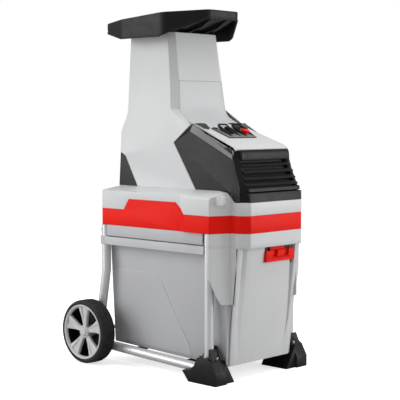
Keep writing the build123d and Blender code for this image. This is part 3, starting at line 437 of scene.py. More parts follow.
def build_hood():
    rings = [
        hood_ring(0.0, lambda y: hood_z(y) - 3.0),
        hood_ring(0.2, lambda y: 0.5 * (hood_z(y) + skirt_low(y))),
        hood_ring(0.6, lambda y: skirt_low(y) + 5.0),
        hood_ring(-0.6, lambda y: skirt_low(y) + 3.6),
        hood_ring(-0.6, lambda y: skirt_low(y) + 0.8),
        hood_ring(0.4, skirt_low),
        hood_ring(3.2, skirt_low),
        hood_ring(4.0, lambda y: skirt_low(y) + 1.5),
        hood_ring(4.0, lambda y: hood_z(y) - 17.0),
        hood_ring(7.0, lambda y: hood_z(y) - 19.0),
        throat_ring(5.0, THROAT_Z),
        throat_ring(3.0, THROAT_Z - 4.0),
        throat_ring(3.0, NECK_LOW),
        throat_ring(0.0, NECK_LOW),
        throat_ring(0.0, THROAT_Z - 1.0),
        throat_ring(2.5, THROAT_Z + 3.0),
        hood_ring(9.0, lambda y: hood_z(y) - 12.5),
        hood_ring(5.5, lambda y: hood_z(y) - 8.0),
        hood_ring(4.2, lambda y: hood_z(y) - 1.0),
        hood_ring(3.0, hood_z),
        hood_ring(1.4, hood_z),
        hood_ring(0.3, lambda y: hood_z(y) - 1.0),
    ]
    ribs = []
    for x in (-34.0, 28.0):
        outline = [(-104, 944), (4, 915), (4, 908), (-14, 908.5), (-62, 920)]
        ribs.append(loft([[Vector((x + dx, y, z)) for y, z in outline] for dx in (0.0, 3.2)], cap_ends=True))
    finish_mesh("feed_hood_shell", "feed_hood", *merged(loft(rings, wrap=True), *ribs), sharp=38.0)


# ------------------------------------------------------------ deck and covers
def side_half(z):
    """Half width of the tower's leaning sides at height z."""
    return TOWER_HALF - TOWER_LEAN * (z - SHOULDER_TOP)


def deck_z(y):
    return DECK_MID.z + tan(DECK_SLOPE) * (y - DECK_MID.y)


def deck_point(x, v, w):
    """Point on the control deck: x across, v up the slope, w out of it."""
    return Vector((x, DECK_MID.y + v * cos(DECK_SLOPE) - w * sin(DECK_SLOPE),
                   DECK_MID.z + v * sin(DECK_SLOPE) + w * cos(DECK_SLOPE)))


# Dark inlay beside the controls, on one side: (x, y)
DECK_PATCH = [(86.0, -86.0), (60.0, -84.0), (44.0, -87.0), (60.0, -118.0), (78.0, -131.0), (86.0, -122.0)]


def deck_profile():
    """(y, z) line down the tower's lower front, round the hollow and along the deck."""
    points = [(-27.0, SEAM_Z), (-27.8, SEAM_Z - 8.0)]
    points += [tuple(p) for p in arc_corner((-28.0, SEAM_Z - 9.0), (-38.3, 681.1), (-214.0, 617.2), 50.0, 14)]
    plate_y = [DECK_MID.y + v * cos(DECK_SLOPE) for v in reversed(PANEL_V)]
    points += [(y, deck_z(y)) for y in (-86.0, plate_y[0], -140.0, -165.0, plate_y[1], -205.0)]
    foot = (-251.5, 598.0)
    points += [tuple(p) for p in arc_corner((-205.0, deck_z(-205.0)), (-243.0, 606.6), foot, 50.0, 8)]
    return points + [foot]


def deck_half(y, z):
    """Half width of the deck panel along its profile."""
    if z > HOLLOW_TOP:
        return 83.0 + 7.0 * (SEAM_Z - z) / (SEAM_Z - HOLLOW_TOP)
    return along([(-250.0, 103.5), (-206.0, 97.5), (-127.0, 90.5), (-86.0, 88.5), (-60.0, 94.0),
                  (-36.0, 90.0)], y)


def build_deck():
    """Sloped deck with the tower's lower front: one moulding with a hole for the control plate."""
    rim = [(0.0, 5.0), (0.0, 2.2), (0.35, 1.1), (1.1, 0.35), (2.2, 0.0)]      # inset, drop
    across = [PANEL_X[0], -40.0, -16.0, 8.0, PANEL_X[1]]
    profile = deck_profile()
    rows = []
    for k, (y, z) in enumerate(profile):
        before, after = profile[max(0, k - 1)], profile[min(len(profile) - 1, k + 1)]
        out = Vector((0.0, before[1] - after[1], after[0] - before[0])).normalized() * -1
        if out.z < 0:
            out = -out
        half = deck_half(y, z)
        row = [Vector((-half + i, y, z)) - out * d for i, d in rim]
        row += [Vector((x, y, z)) for x in across]
        row += [Vector((half - i, y, z)) - out * d for i, d in reversed(rim)]
        rows.append(row)
    vertices, faces = loft(rows, closed=False)
    count = len(rows[0])
    plate_rows = [k for k, (y, z) in enumerate(profile) if -192.0 < y < -113.0]      # beside the plate
    first, last = min(plate_rows), max(plate_rows)
    hole = set()
    for r in range(first, last):
        for c in range(len(rim), len(rim) + len(across) - 1):
            hole.add((r * count + c, r * count + c + 1))
    faces = [f for f in faces if (f[0], f[1]) not in hole]
    panel = thickened(vertices, faces, 3.2, Vector((0, -0.3, 1)))
    patches = []
    for side in (-1, 1):
        outline = [(side * x, (y - DECK_MID.y) / cos(DECK_SLOPE)) for x, y in DECK_PATCH]
        points, polygons = loft([[deck_point(x, v, w) for x, v in outline] for w in (-1.0, 0.5)],
                                cap_ends=True)
        patches.append(mesh_of(points, polygons, [1] * len(polygons)))
    dress("deck_panel_shell", "deck_panel", joined(panel, *patches), extra=[MATERIALS["dark_grey_plastic"]])


def cheek_front(z):
    """Front edge of the cheeks at height z."""
    return along([(464.0, -274.0), (501.0, -271.0), (545.0, -252.0), (585.0, -240.0), (600.0, -236.0)], z)


BLADE_TIPS = [(556.0, -261.0), (539.0, -268.5), (522.0, -275.5), (506.0, -283.0)]
# (z, front y) line of the blades' tips, and the half width that the blades reach
BLADE_LINE = [(464.0, -295.0), (498.0, -290.0), (507.0, -283.0), (553.0, -261.0), (600.0, -252.0)]
BLADE_HALF = [(470.0, 99.0), (507.0, 96.5), (538.0, 93.0), (553.0, 90.5), (590.0, 88.5)]
NOSE = [(-243.0, 597.2), (-249.0, 597.0), (-252.6, 595.4), (-255.0, 592.0), (-256.4, 587.0), (-257.4, 572.5),
        (-256.6, 570.4), (-252.0, 569.4), (-243.0, 569.0)]
SILL = [(-276.0, 500.6), (-286.5, 500.6), (-289.0, 499.6), (-289.8, 498.0), (-290.6, 491.2), (-289.8, 490.0),
        (-276.0, 489.8)]
COVER_FOOT = [(-276.0, 487.8), (-292.2, 487.8), (-293.8, 487.2), (-294.5, 486.0), (-295.3, 464.5),
              (-276.0, 464.5)]


def bar(section, x0, x1, round0, round1, steps=7):
    """Closed bar along X with a (y, z) section; each end bends back over (width, depth)."""
    back = max(y for y, z in section) + round1[1]
    places = []
    for k in range(steps + 1):
        angle = pi / 2 * k / steps
        places.append((x0 + round0[0] * (1 - cos(angle)), round0[1] * (1 - sin(angle))))
    places += [(x0 + (x1 - x0) * t, 0.0) for t in (0.3, 0.5, 0.7)]
    for k in range(steps, -1, -1):
        angle = pi / 2 * k / steps
        places.append((x1 - round1[0] * (1 - cos(angle)), round1[1] * (1 - sin(angle))))
    return loft([[Vector((x, min(back, y + pull), z)) for y, z in section] for x, pull in places],
                cap_ends=True)


def build_motor_cover():
    """Louvred front: a nose, four sloping blades, a sill and a foot before a back plate coloured black as
    painted shade in the gaps and beside the blades' ends.
    """
    rows = []
    for z in (464.4, 480.0, 500.0, 520.0, 540.0, 560.0, 580.0, 603.0):
        half, line = along(BLADE_HALF, z), along(BLADE_LINE, z)
        end_x = side_half(z) - CHEEK_THICK - 0.4
        left = [(-end_x, -205.0), (-end_x, cheek_front(z) + 1.5), (-half - 1.5, line + 5.0),
                (-half, line + 14.0)]
        row = [Vector((x, y, z)) for x, y in left]
        rows.append(row + [Vector((-p.x, p.y, p.z)) for p in reversed(row)])
    vertices, faces = loft(rows, closed=False)
    # the back plate is black: painted shade between the blades and beside their ends
    back_plate = thickened(vertices, faces, 2.4, Vector((0, -1, 0)), [1] * len(faces))
    bars = [bar(NOSE, -90.0, 110.0, (3.0, 3.0), (17.0, 12.0)),
            bar(SILL, -98.0, 113.6, (2.0, 2.0), (14.0, 14.0)),
            bar(COVER_FOOT, -99.5, 113.3, (1.5, 1.5), (12.0, 14.0))]
    for z, y in BLADE_TIPS:
        section = [(y + 9.5, z + 7.8), (y + 1.0, z + 1.5), (y, z), (y + 0.8, z - 1.4), (y + 5.0, z - 2.2),
                   (y + 15.0, z - 3.0), (y + 15.0, z + 7.8)]
        bars.append(bar(section, -along(BLADE_HALF, z), side_half(z) - 3.0, (2.5, 2.5), (18.0, 12.0)))
    flanks = [flank(side) for side in (-1, 1)]
    dress("motor_cover_shell", "motor_cover", joined(back_plate, mesh_of(*merged(*bars)), *flanks),
          extra=[MATERIALS["black_plastic"], GREY_TRIM_AND_PAINTED_HIGHLIGHT])


# y, and how far the ridge beside the deck lies below it
FLANK_DROPS = [(-94.0, 5.0), (-127.0, 6.3), (-159.0, 7.3), (-190.0, 9.9), (-223.0, 11.0), (-243.0, 12.5)]


def flank(side):
    """Strip between the deck and a cheek: a groove coloured black as painted shadow beside the deck, and a
    ridge whose upward face is grey as painted light.
    """
    rows = []
    for y, drop in FLANK_DROPS:
        inner, top = deck_half(y, 600.0) + 0.5, deck_z(y)
        outer, outer_z = side_half(cheek_top(y)) - CHEEK_THICK - 0.5, cheek_top(y) - 1.5
        ridge, ridge_z = min(max(inner + 2.5, outer - 5.0), outer - 1.4), top - drop
        section = [(inner, top - 26.0), (inner, top - 13.0),
                   (ridge - 0.8, ridge_z - 4.0), (ridge - 0.4, ridge_z - 0.8),
                   (ridge + 0.3, ridge_z), (outer - 0.6, outer_z + 0.4),
                   (outer, outer_z - 0.8), (outer, top - 26.0)]
        rows.append([Vector((side * x, y, z)) for x, z in section])
    vertices, faces = loft(rows, cap_ends=True)
    count = len(rows[0])
    # the ridge's top takes the lighter grey as painted light; the rest of the strip is black as painted
    # shadow
    slots = [2 if len(f) == 4 and 3 <= f[0] % count <= 5 else 1 for f in faces]
    return mesh_of(vertices, faces, slots)


def cheek_top(y):
    """Height of the cheeks' upper edge."""
    return CHEEK_REAR[1] + (y - CHEEK_REAR[0]) * CHEEK_FRONT_DROP / CHEEK_RUN


CHEEK_OUTLINE = [(-35.0, 614.0), (-98.0, 663.0), (-241.0, 585.0), (-253.0, 545.0), (-271.0, 501.0),
                 (-274.0, 466.0), (-260.0, 466.0), (-241.0, 492.4), (-125.0, 493.0)]


def build_cheeks():
    """Flat leaning side plates with a broad bevel along the upper edge, coloured lighter grey as a painted
    highlight.
    """
    radii = [2.0, 3.0, 7.0, 20.0, 20.0, 2.0, 3.0, 5.0, 3.0]
    full = rounded(CHEEK_OUTLINE, radii, 4)
    lowered = list(CHEEK_OUTLINE)
    lowered[1], lowered[2] = (-94.0, 643.0), (-245.0, 575.0)
    lowered = rounded(lowered, radii, 4)
    middle = sum(full, Vector((0, 0))) / len(full)

    def ring(outline, depth, inset):
        points = []
        for p in outline:
            q = p + (middle - p).normalized() * inset
            points.append(Vector((side_half(q.y) - depth, q.x, q.y)))
        return points
    for sign, side in ((-1, "left"), (1, "right")):
        rings = [ring(full, CHEEK_THICK, 0.0), ring(full, CHEEK_THICK - 2.0, 0.0), ring(lowered, 0.9, 0.0),
                 ring(lowered, 0.25, 0.3), ring(lowered, 0.0, 1.2)]
        rings = [[Vector((sign * p.x, p.y, p.z)) for p in r] for r in rings]
        vertices, faces = loft(rings, cap_ends=True)
        count = len(full)
        # the bevel's faces take the lighter grey: a painted highlight
        bevel = {k for k in range(count) if (full[k] - lowered[k]).length > 3.0}
        slots = [int(len(f) == 4 and f[0] // count == 1 and {f[0] % count, f[1] % count} <= bevel)
                 for f in faces]
        dress(f"cheek_{side}_plate", f"cheek_{side}", mesh_of(vertices, faces, slots), extra=[GREY_TRIM_AND_PAINTED_HIGHLIGHT])


# ---------------------------------------------------------------------- wheels
def spun(profile, steps, radius_at=None):
    """Closed profile of (x, radius) points turned about the X axis."""
    rings = []
    for k in range(steps):
        angle = 2 * pi * k / steps
        rings.append([Vector((x, r * cos(angle), r * sin(angle))) if radius_at is None else
                      Vector((x, radius_at(x, r, k) * cos(angle), radius_at(x, r, k) * sin(angle)))
                      for x, r in profile])
    return loft(rings, wrap=True)


def tread(x, radius, step):
    """Shallow blocks across the tyre, the two halves set half a pitch apart."""
    if radius < WHEEL_R - 1.0:
        return radius
    if abs(x) < 1.6:
        return radius - 1.6
    shifted = step + (2 if x > 0 else 0)
    return radius - (1.6 if shifted % 4 == 0 else 0.0)


def build_tyre(side, place):
    h = WHEEL_HALF
    profile = [(-h, RIM_R + 0.3), (-h, WHEEL_R - 7.0), (-h + 1.2, WHEEL_R - 4.0), (-h + 3.5, WHEEL_R - 1.6),
               (-h + 7.0, WHEEL_R - 0.3), (-12.0, WHEEL_R), (-6.0, WHEEL_R), (-1.8, WHEEL_R), (-1.2, WHEEL_R),
               (1.2, WHEEL_R), (1.8, WHEEL_R), (6.0, WHEEL_R), (12.0, WHEEL_R), (h - 7.0, WHEEL_R - 0.3),
               (h - 3.5, WHEEL_R - 1.6), (h - 1.2, WHEEL_R - 4.0), (h, WHEEL_R - 7.0), (h, WHEEL_R - 9.5),
               (h - 0.6, WHEEL_R - 10.2), (h - 0.6, RIM_R + 0.3)]
    shape = moved(spun(profile, 120, tread), place)
    finish_mesh(f"tyre_{side}_rubber", f"tyre_{side}", *shape, sharp=28.0)


def spoke(index):
    """Flared spoke with a groove along its outer face that opens towards the rim."""
    root, tip = 14.0, RIM_R - 6.5
    rings = []
    for k in range(7):
        t = k / 6
        radius = root + t * (tip - root)
        half = 6.5 + 15.5 * t ** 1.5
        face = 14.5 + 5.0 * t
        groove = 2.6 * min(1.0, 2.2 * max(0.0, t - 0.12))
        inner = 0.30 * half + 1.2 * t
        section = [(-half, face - 8.5), (-half, face - 2.0), (-half + 1.0, face - 0.5), (-half + 2.4, face),
                   (-inner - 1.2, face), (-inner, face - groove), (inner, face - groove), (inner + 1.2, face),
                   (half - 2.4, face), (half - 1.0, face - 0.5), (half, face - 2.0), (half, face - 8.5)]
        rings.append([Vector((x, across, radius)) for across, x in section])
    turn = Matrix.Rotation(2 * pi * index / SPOKES, 4, "X")
    return moved(loft(rings, cap_ends=True), turn)


def build_rim(side, place):
    h = WHEEL_HALF
    ring = [(-h + 2.0, RIM_R), (h - 1.6, RIM_R), (h - 0.4, RIM_R - 0.8), (h, RIM_R - 2.2),
            (h - 0.3, RIM_R - 4.0), (h - 1.6, RIM_R - 5.4), (h - 5.0, RIM_R - 6.6),
            (h - 8.0, RIM_R - 7.6), (-h + 2.0, RIM_R - 7.0)]
    hub = [(-h + 2.5, AXLE_BORE), (-h + 2.5, 15.0), (h - 14.0, 17.5), (h - 8.0, 17.5), (h - 6.4, 16.5),
           (h - 6.0, 15.0), (h - 6.0, 12.3), (h - 12.0, 12.3), (h - 12.0, AXLE_BORE)]
    flange = [(-h + 5.0, 14.0), (-h + 5.0, RIM_R - 6.9), (-h + 8.0, RIM_R - 6.9), (-h + 10.0, 40.0),
              (-h + 8.0, 14.0)]
    barrel, barrel_faces = spun(ring, 96)
    slots = [int(all(barrel[i].x < h - 7.5 for i in f)) for f in barrel_faces]
    dark, dark_faces = moved(spun(flange, 96), place)
    pale = merged(spun(hub, 48), *[spoke(k) for k in range(SPOKES)])
    dress(f"rim_{side}_moulding", f"rim_{side}",
          joined(mesh_of(*moved((barrel, barrel_faces), place), slots), mesh_of(*moved(pale, place)),
                 mesh_of(dark, dark_faces, [1] * len(dark_faces))), extra=[MATERIALS["black_plastic"]],
          sharp=40.0)


def build_hub_cap(side, place):
    h = WHEEL_HALF
    profile = [(h - 6.6, 0.01), (h - 6.6, 11.9), (h - 4.6, 12.0), (h - 3.2, 11.0), (h - 2.4, 8.0),
               (h - 2.6, 5.0), (h - 2.6, 0.01)]
    finish_mesh(f"hub_cap_{side}_disc", f"hub_cap_{side}", *moved(spun(profile, 48), place), sharp=40.0)


def build_wheels():
    for sign, side in ((-1, "left"), (1, "right")):
        place = Matrix.Translation(AXLE + Vector((sign * WHEEL_MID, 0, 0)))
        if sign < 0:
            place = place @ Matrix.Rotation(pi, 4, "Z")
        build_tyre(side, place)
        build_rim(side, place)
        build_hub_cap(side, place)


# ---------------------------------------------------------------- tube frames
def tube_route():
    """(y, z) line of a frame tube: down the front leg, along the run, up the rear leg."""
    front, rear = -210.0, 217.3
    run = [36.0 + 12.0 * (y + 155.0) / 295.0 for y in (front, rear)]      # rises to the rear
    corners = [(front, 424.0), (front, run[0]), (rear, run[1]), (181.0, 262.0), (181.0, 385.0)]
    points = [Vector(corners[0])]
    for before, corner, after in zip(corners, corners[1:], corners[2:]):
        points += arc_corner(before, corner, after, BEND_R, 12)
    return points + [Vector(corners[-1])]


def build_frame_tubes():
    """Bent round tubes with an open, slightly rounded end at the top of each leg."""
    route = tube_route()
    for sign, side in ((-1, "left"), (1, "right")):
        rings = []
        for k, p in enumerate(route):
            along_tube = (route[min(k + 1, len(route) - 1)] - route[max(k - 1, 0)]).normalized()
            across = Vector((-along_tube.y, along_tube.x))
            rings.append([Vector((sign * TUBE_X + TUBE_R * cos(a), p.x + across.x * TUBE_R * sin(a),
                                  p.y + across.y * TUBE_R * sin(a)))
                          for a in (2 * pi * i / 40 for i in range(40))])
        x, share = sign * TUBE_X, TUBE_BORE / TUBE_R
        bore = [[Vector((x + (v.x - x) * share, p.x + (v.y - p.x) * share, p.y + (v.z - p.y) * share))
                 for v in ring] for ring, p in zip(rings, route)]
        whole = loft(rings + bore[::-1], wrap=True)
        finish_mesh(f"frame_tube_{side}_bent", f"frame_tube_{side}", *whole, sharp=40.0)


# ------------------------------------------------------------------- controls
# Place (x, v) of each control on the deck
KNOB, STOP, START = (-28.0, -6.0), (26.0, -14.0), (26.0, 11.0)
MODULE_HALF, MODULE_FRONT, MODULE_REAR = 18.5, -37.0, 27.0


def deck_turned(profile, place, steps=40):
    """(radius, height) profile turned about the deck's normal at (x, v)."""
    rings = [[deck_point(place[0] + r * cos(a), place[1] + r * sin(a), w) for r, w in profile]
             for a in (2 * pi * k / steps for k in range(steps))]
    return loft(rings, wrap=True)


def module_hoop(x_mid, tall_left):
    """Wall round one control: low feet in front, an arched rim behind."""
    h, r = MODULE_HALF, 9.0
    left, right = x_mid - h, x_mid + h
    path = [(left, MODULE_FRONT), (left, -20.0), (left, 0.0), (left, MODULE_REAR - r)]
    path += [(left + r * (1 - cos(a)), MODULE_REAR - r + r * sin(a)) for a in (0.4, 0.8, 1.2)]
    path += [(left + r, MODULE_REAR), (x_mid, MODULE_REAR + 1.0), (right - r, MODULE_REAR)]
    path += [(right - r * (1 - cos(a)), MODULE_REAR - r + r * sin(a)) for a in (1.2, 0.8, 0.4)]
    path += [(right, MODULE_REAR - r), (right, 0.0), (right, -20.0), (right, MODULE_FRONT)]
    rings = []
    for k, (x, v) in enumerate(path):
        ahead, behind = path[min(k + 1, len(path) - 1)], path[max(k - 1, 0)]
        run = Vector((ahead[0] - behind[0], ahead[1] - behind[1])).normalized()
        inward = Vector((run.y, -run.x))
        share = (v - MODULE_FRONT) / (MODULE_REAR - MODULE_FRONT)
        on_left = x < x_mid - 0.5 * h
        top = 3.0 + 12.0 * min(1.0, share * 1.15) * (1.0 if on_left or share > 0.9 else 0.85)
        wide = (6.0 if tall_left else 3.2) if on_left and share < 0.8 else 2.6
        low = 0.5 if share < 0.72 else along([(0.72, 0.5), (0.9, top - 4.2)], share)
        section = [(0.0, low), (0.0, top - 0.7), (0.7, top), (wide - 0.7, top), (wide, top - 0.7),
                   (wide, low)]
        rings.append([deck_point(x + inward.x * d, v + inward.y * d, w) for d, w in section])
    return loft(rings, cap_ends=True)


def build_control_plate():
    """Plate with two hooped modules, each with a pale ramp behind its control."""
    x0, x1 = PANEL_X[0] + 0.3, PANEL_X[1] - 0.3
    v0, v1 = PANEL_V[0] + 0.3, PANEL_V[1] - 0.3
    plan = rounded([(x0, v0), (x1, v0), (x1, v1), (x0, v1)], [2.0] * 4, 4)
    levels = [(0.0, -3.2), (0.0, 1.6), (0.5, 2.2), (1.2, 2.3)]
    middle = Vector(((x0 + x1) / 2, (v0 + v1) / 2))
    rings = [[deck_point(*(p + (middle - p).normalized() * inset), w) for p in plan] for inset, w in levels]
    vertices, faces = loft(rings, cap_ends=True)
    slots = [int(len(f) > 4 and f[0] >= 3 * len(plan)) for f in faces]
    plate = mesh_of(vertices, faces, slots)
    hoops = [mesh_of(*module_hoop(KNOB[0], False)), mesh_of(*module_hoop(STOP[0], True))]
    ramps = []
    for x in (KNOB[0], STOP[0]):
        outline = [(-2.0, 2.0), (MODULE_REAR - 1.5, 2.0), (MODULE_REAR - 1.5, 7.5)]
        wedge = loft([[deck_point(x + dx, v, w) for v, w in outline]
                      for dx in (4.0 - MODULE_HALF, MODULE_HALF - 3.5)], cap_ends=True)
        ramps.append(mesh_of(*wedge, [2] * len(wedge[1])))
    tab = loft([[deck_point(x, v, w) for x, v in ((-48.0, 18.0), (-57.0, 24.0), (-56.0, 27.0), (-46.0, 23.0))]
                for w in (1.0, 5.0)], cap_ends=True)
    dress("control_plate_hoops", "control_plate", joined(plate, *hoops, *ramps, mesh_of(*tab)),
          extra=[GREY_TRIM_AND_PAINTED_HIGHLIGHT, MATERIALS["light_housing"]])


def build_controls():
    """Bow-tie knob and two push buttons."""
    base = deck_turned([(0.01, 3.0), (14.0, 3.0), (14.0, 5.5), (13.0, 7.2), (11.0, 8.0), (0.01, 8.0)], KNOB)
    grip = []
    for v, half in ((-14.0, 5.8), (-13.0, 6.6), (-7.0, 5.0), (0.0, 4.6),
                    (7.0, 5.0), (13.0, 6.6), (14.0, 5.8)):
        top = 16.0 - 0.012 * v * v
        section = [(-half, 6.0), (-half, top - 2.0), (-half + 1.6, top), (half - 1.6, top), (half, top - 2.0),
                   (half, 6.0)]
        grip.append([deck_point(KNOB[0] + x, KNOB[1] + v, w) for x, w in section])
    finish_mesh("direction_knob_grip", "direction_knob", *merged(base, loft(grip, cap_ends=True)))
    cap = [(0.01, 1.9), (9.0, 1.9), (9.0, 7.6), (11.5, 8.0), (11.5, 10.6), (10.8, 11.7), (9.0, 12.2),
           (6.0, 11.8), (0.01, 11.6)]
    finish_mesh("stop_button_cap", "stop_button", *deck_turned(cap, STOP))
    cap = [(0.01, 1.0), (7.5, 1.0), (7.5, 9.4), (6.8, 10.6), (5.6, 11.0), (4.8, 10.4), (0.01, 10.2)]
    finish_mesh("start_button_cap", "start_button", *deck_turned(cap, START))


# ------------------------------------------------------------------ box front
# Opening behind the latch: x from and to, z from and to
LATCH_GAP = (-20.0, 96.0, 303.5, 346.5)
# Groove: its inner edge, then (z, outer edge) and (z, depth)
GROOVE_INNER = 86.0
GROOVE_OUTER = [(70.0, 90.0), (150.0, 103.5)]
GROOVE_DEPTH = [(70.0, 0.1), (150.0, 4.5), (250.0, 7.0), (300.0, 12.0), (347.0, 14.0)]


def panel_y(z):
    """Front face of the box panel, which leans out towards the top."""
    return PANEL_FOOT[0] - PANEL_OUT * (z - PANEL_FOOT[1]) / PANEL_TALL


def panel_mesh():
    """Leaning panel with a tapering V groove near each side and the latch's opening."""
    levels = [41.2, 42.5, 70.0, 84.0, 100.0, 118.0, 140.0, 180.0, 225.0, 265.0, LATCH_GAP[2], 325.0, 338.0,
              LATCH_GAP[3], 349.0]
    widest = GROOVE_OUTER[-1][1] - GROOVE_INNER
    rows = []
    for z in levels:
        inner, outer, depth = GROOVE_INNER, along(GROOVE_OUTER, z), along(GROOVE_DEPTH, z)
        front = panel_y(z)
        edge = 122.0 if z > 150.0 else 118.0 + 4.0 * (z - 41.0) / 109.0
        middle = inner + (LATCH_GAP[1] - inner) / widest * (outer - inner)
        right = [(inner, 0.0), (inner + 0.8, 0.2), (middle, depth * 0.6), (outer - 1.0, depth),
                 (outer, depth - 0.1), (outer + 1.2, 0.4), (outer + 2.2, 0.0),
                 (edge - 1.0, 0.3), (edge, 1.0), (edge, 4.0)]
        flat = [(-60.0, 0.0), (LATCH_GAP[0], 0.0), (40.0, 0.0)]
        across = [(-x, d) for x, d in reversed(right)] + flat + right
        rows.append([Vector((x, front + d, z)) for x, d in across])
    vertices, faces = loft(rows, closed=False)
    count = len(rows[0])
    gap_rows = range(levels.index(LATCH_GAP[2]), levels.index(LATCH_GAP[3]))
    left_edge = len(right) + 1                  # the column at the opening's left edge
    gap = {r * count + c for r in gap_rows for c in range(left_edge, left_edge + 4)}
    faces = [f for f in faces if f[0] not in gap]
    return thickened(vertices, faces, SHEET, Vector((0, -1, 0)))


def build_box_front():
    """Panel, rim with its ledge, and the two ears beside it."""
    plan = [(60.0, -299.0), (101.0, -299.0), (122.0, -277.0), (122.0, -252.0), (180.0, -228.0),
            (180.0, -219.5)]
    line = [Vector((0.0, -299.0)), Vector(plan[0])]
    line += arc_corner(*plan[0:3], 4.0, 4) + arc_corner(*plan[1:4], 3.0, 3) + arc_corner(*plan[2:5], 2.0, 3)
    line += [Vector((148.0, -241.2)), Vector((160.0, -236.3))]
    line += arc_corner(*plan[3:6], 4.0, 4) + [Vector(plan[5])]
    whole = [Vector((-p.x, p.y)) for p in reversed(line[1:])] + line
    rows = [[Vector((p.x, p.y, z)) for p in whole] for z in (BOX_RIM_TOP, 375.0, 360.0, 349.5)]
    for step, z in ((0.6, 348.0), (2.0, 347.2)):
        rows.append([Vector((p.x * (1 - step / 190.0), p.y + step, z)) for p in whole])
    rim = thickened(*loft(rows, closed=False), SHEET, Vector((0, -1, 0)))
    ledge_plan = [(-121.5, -252.0), (-121.5, -276.0), (-101.0, -297.5), (101.0, -297.5), (121.5, -276.0),
                  (121.5, -252.0), (118.0, -252.0), (118.0, -272.0), (-118.0, -272.0), (-118.0, -252.0)]
    ledge = mesh_of(*loft([[Vector((x, y, z)) for x, y in ledge_plan] for z in (347.2, 350.0)],
                          cap_ends=True))
    columns = [(122.0, -268.0, 203.0), (122.0, -254.0, 203.0), (123.2, -251.6, 203.0), (135.0, -246.7, 203.0),
               (148.0, -241.2, 203.0), (160.0, -236.3, 224.0), (172.0, -231.3, 251.0), (178.5, -228.6, 266.0),
               (180.0, -226.0, 269.0), (180.0, -219.5, 269.0)]       # x, y, low end
    top = BOX_RIM_LOW + 2.0
    ears = []
    for side in (-1, 1):
        strips = [[Vector((side * x, y, top + (low - top) * t)) for t in (0.0, 0.35, 0.7, 0.97, 1.0)]
                  for x, y, low in columns]
        ears.append(thickened(*loft(strips, closed=False), SHEET, Vector((0, -1, 0))))
    dress("box_front_panel", "box_front", joined(panel_mesh(), rim, ledge, *ears), sharp=35.0)


def build_softened():
    """Mouldings whose CAD shape is right, with their long edges rounded."""
    for node, width in (("tower_shell", 2.5), ("base_housing", 2.2), ("red_band", 1.2), ("box_bin", 2.5),
                        ("rear_cover", 1.2), ("latch", 1.2), ("foot_left", 2.0), ("foot_right", 2.0),
                        ("side_skirt_left", 0.8), ("side_skirt_right", 0.8), ("rail_left", 1.5),
                        ("rail_right", 1.5), ("adjusting_knob", 1.2), ("mains_inlet", 0.6)):
        piece = softened(node, width)
        if node.startswith("rail"):
            piece.data.materials[0] = RAIL_COAT


def bin_half(z):
    """Half width of the bin, whose sides lean out towards the top."""
    return BIN_HALF + BIN_OUT * (z - BIN_FOOT_Z) / BIN_TALL


def build_bin_panels():
    """Low raised panel on each side of the bin, whose upper edge is the crease above the wheel."""
    line = [(175.0, 262.0), (149.0, 263.5), (41.0, 263.5), (-12.6, 248.0), (-67.5, 150.0), (-108.0, 86.0),
            (-122.0, 50.0), (172.0, 62.0)]
    plan = rounded(line, [2.0, 2.0, 30.0, 22.0, 60.0, 20.0, 4.0, 14.0], 6)
    middle = sum(plan, Vector((0, 0))) / len(plan)
    for sign, side in ((-1, "left"), (1, "right")):
        rings = []
        for out, inset in ((-1.0, 0.0), (0.15, 0.0), (1.3, 2.6), (1.4, 5.0)):
            ring = [p + (middle - p).normalized() * inset for p in plan]
            rings.append([Vector((sign * (bin_half(p.y) + out), p.x, p.y)) for p in ring])
        finish_mesh(f"box_bin_panel_{side}", "box_bin", *loft(rings, cap_ends=True), sharp=50.0)


def build_camera():
    """The photographer's place: from the left front, slightly above the middle."""
    data = bpy.data.cameras.new("camera")
    data.lens = 105.4
    data.sensor_width = 36.0
    camera = bpy.data.objects.new("camera", data)
    camera.location = (-2.318, -2.240, 0.678)
    azimuth, down = radians(-46.3), radians(4.0)
    forward = Vector((-sin(azimuth) * cos(down), cos(azimuth) * cos(down), -sin(down)))
    camera.rotation_euler = forward.to_track_quat("-Z", "Y").to_euler()
    bpy.context.scene.collection.objects.link(camera)
    bpy.context.scene.camera = camera


def area_light(name, place, aim, size, power):
    data = bpy.data.lights.new(name, "AREA")
    data.shape = "RECTANGLE"
    data.size, data.size_y = size
    data.energy = power
    light = bpy.data.objects.new(name, data)
    light.location = place
    light.rotation_euler = (Vector(aim) - Vector(place)).to_track_quat("-Z", "Y").to_euler()
    bpy.context.scene.collection.objects.link(light)


def build_world():
    """Dim even light from all round, in front of a white background."""
    world = bpy.data.worlds.new("studio")
    world.use_nodes = True
    nodes, links = world.node_tree.nodes, world.node_tree.links
    room = nodes["Background"]
    room.inputs["Color"].default_value = (1.0, 1.0, 1.0, 1.0)
    room.inputs["Strength"].default_value = 0.36
    seen = nodes.new("ShaderNodeBackground")
    seen.inputs["Color"].default_value = (1.0, 1.0, 1.0, 1.0)
    seen.inputs["Strength"].default_value = 1.0
    mix_for_camera(nodes, links, room, seen, nodes["World Output"].inputs["Surface"])
    bpy.context.scene.world = world


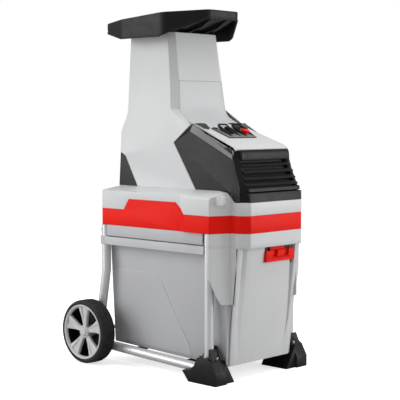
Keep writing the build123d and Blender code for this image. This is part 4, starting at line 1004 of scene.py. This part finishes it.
def build_lights():
    """Soft boxes behind the left side, beyond the right front and overhead, and two narrow strips."""
    area_light("left_box", (-2.1, 1.7, 1.2), (0, 0, 0.5), (1.4, 2.2), 34.0)
    area_light("front_box", (1.7, -2.1, 0.8), (0, 0, 0.4), (1.4, 1.6), 26.0)
    area_light("top_box", (0.0, -0.4, 3.2), (0, -0.1, 0.6), (2.0, 2.0), 42.0)
    area_light("left_strip", (-3.0, 0.45, 0.9), (0, 0, 0.5), (0.3, 2.2), 8.0)
    area_light("front_strip", (0.6, -3.0, 0.9), (0, 0, 0.5), (0.3, 2.2), 6.0)


def build_floor():
    """Ground that looks white to the camera and throws less light back on the object."""
    mesh = bpy.data.meshes.new("floor")
    reach = 12.0
    corners = [(-reach, -reach, 0), (reach, -reach, 0), (reach, reach, 0), (-reach, reach, 0)]
    mesh.from_pydata(corners, [], [(0, 1, 2, 3)])
    floor = bpy.data.objects.new("floor", mesh)
    g = Graph("floor_paint", 0.9)
    g.set("Base Color", g.ramp(g.noise(0.6, 2.0), [(0.3, rgb(250, 250, 250)), (0.7, rgb(254, 254, 254))]))
    g.shader.inputs["Emission Color"].default_value = (1.0, 1.0, 1.0, 1.0)
    g.shader.inputs["Emission Strength"].default_value = 0.66
    dull = g.nodes.new("ShaderNodeBsdfDiffuse")
    dull.inputs["Color"].default_value = rgb(190, 190, 190)
    mix_for_camera(g.nodes, g.links, dull, g.shader, g.nodes["Material Output"].inputs["Surface"])
    mesh.materials.append(g.material)
    bpy.context.scene.collection.objects.link(floor)


def dress_cad_nodes():
    """Every CAD node that stays gets its slot's procedural material."""
    for node, piece in frame["nodes"].items():
        material = MATERIALS[SLOT_OF[node]]
        if not piece.material_slots:
            piece.data.materials.append(material)
        for slot in piece.material_slots:
            slot.material = material


build_camera()
build_world()
build_lights()
build_floor()
bpy.context.scene.view_settings.view_transform = "Standard"
dress_cad_nodes()
build_hood()
build_deck()
build_motor_cover()
build_cheeks()
build_wheels()
build_frame_tubes()
build_control_plate()
build_controls()
build_box_front()
build_softened()
build_bin_panels()
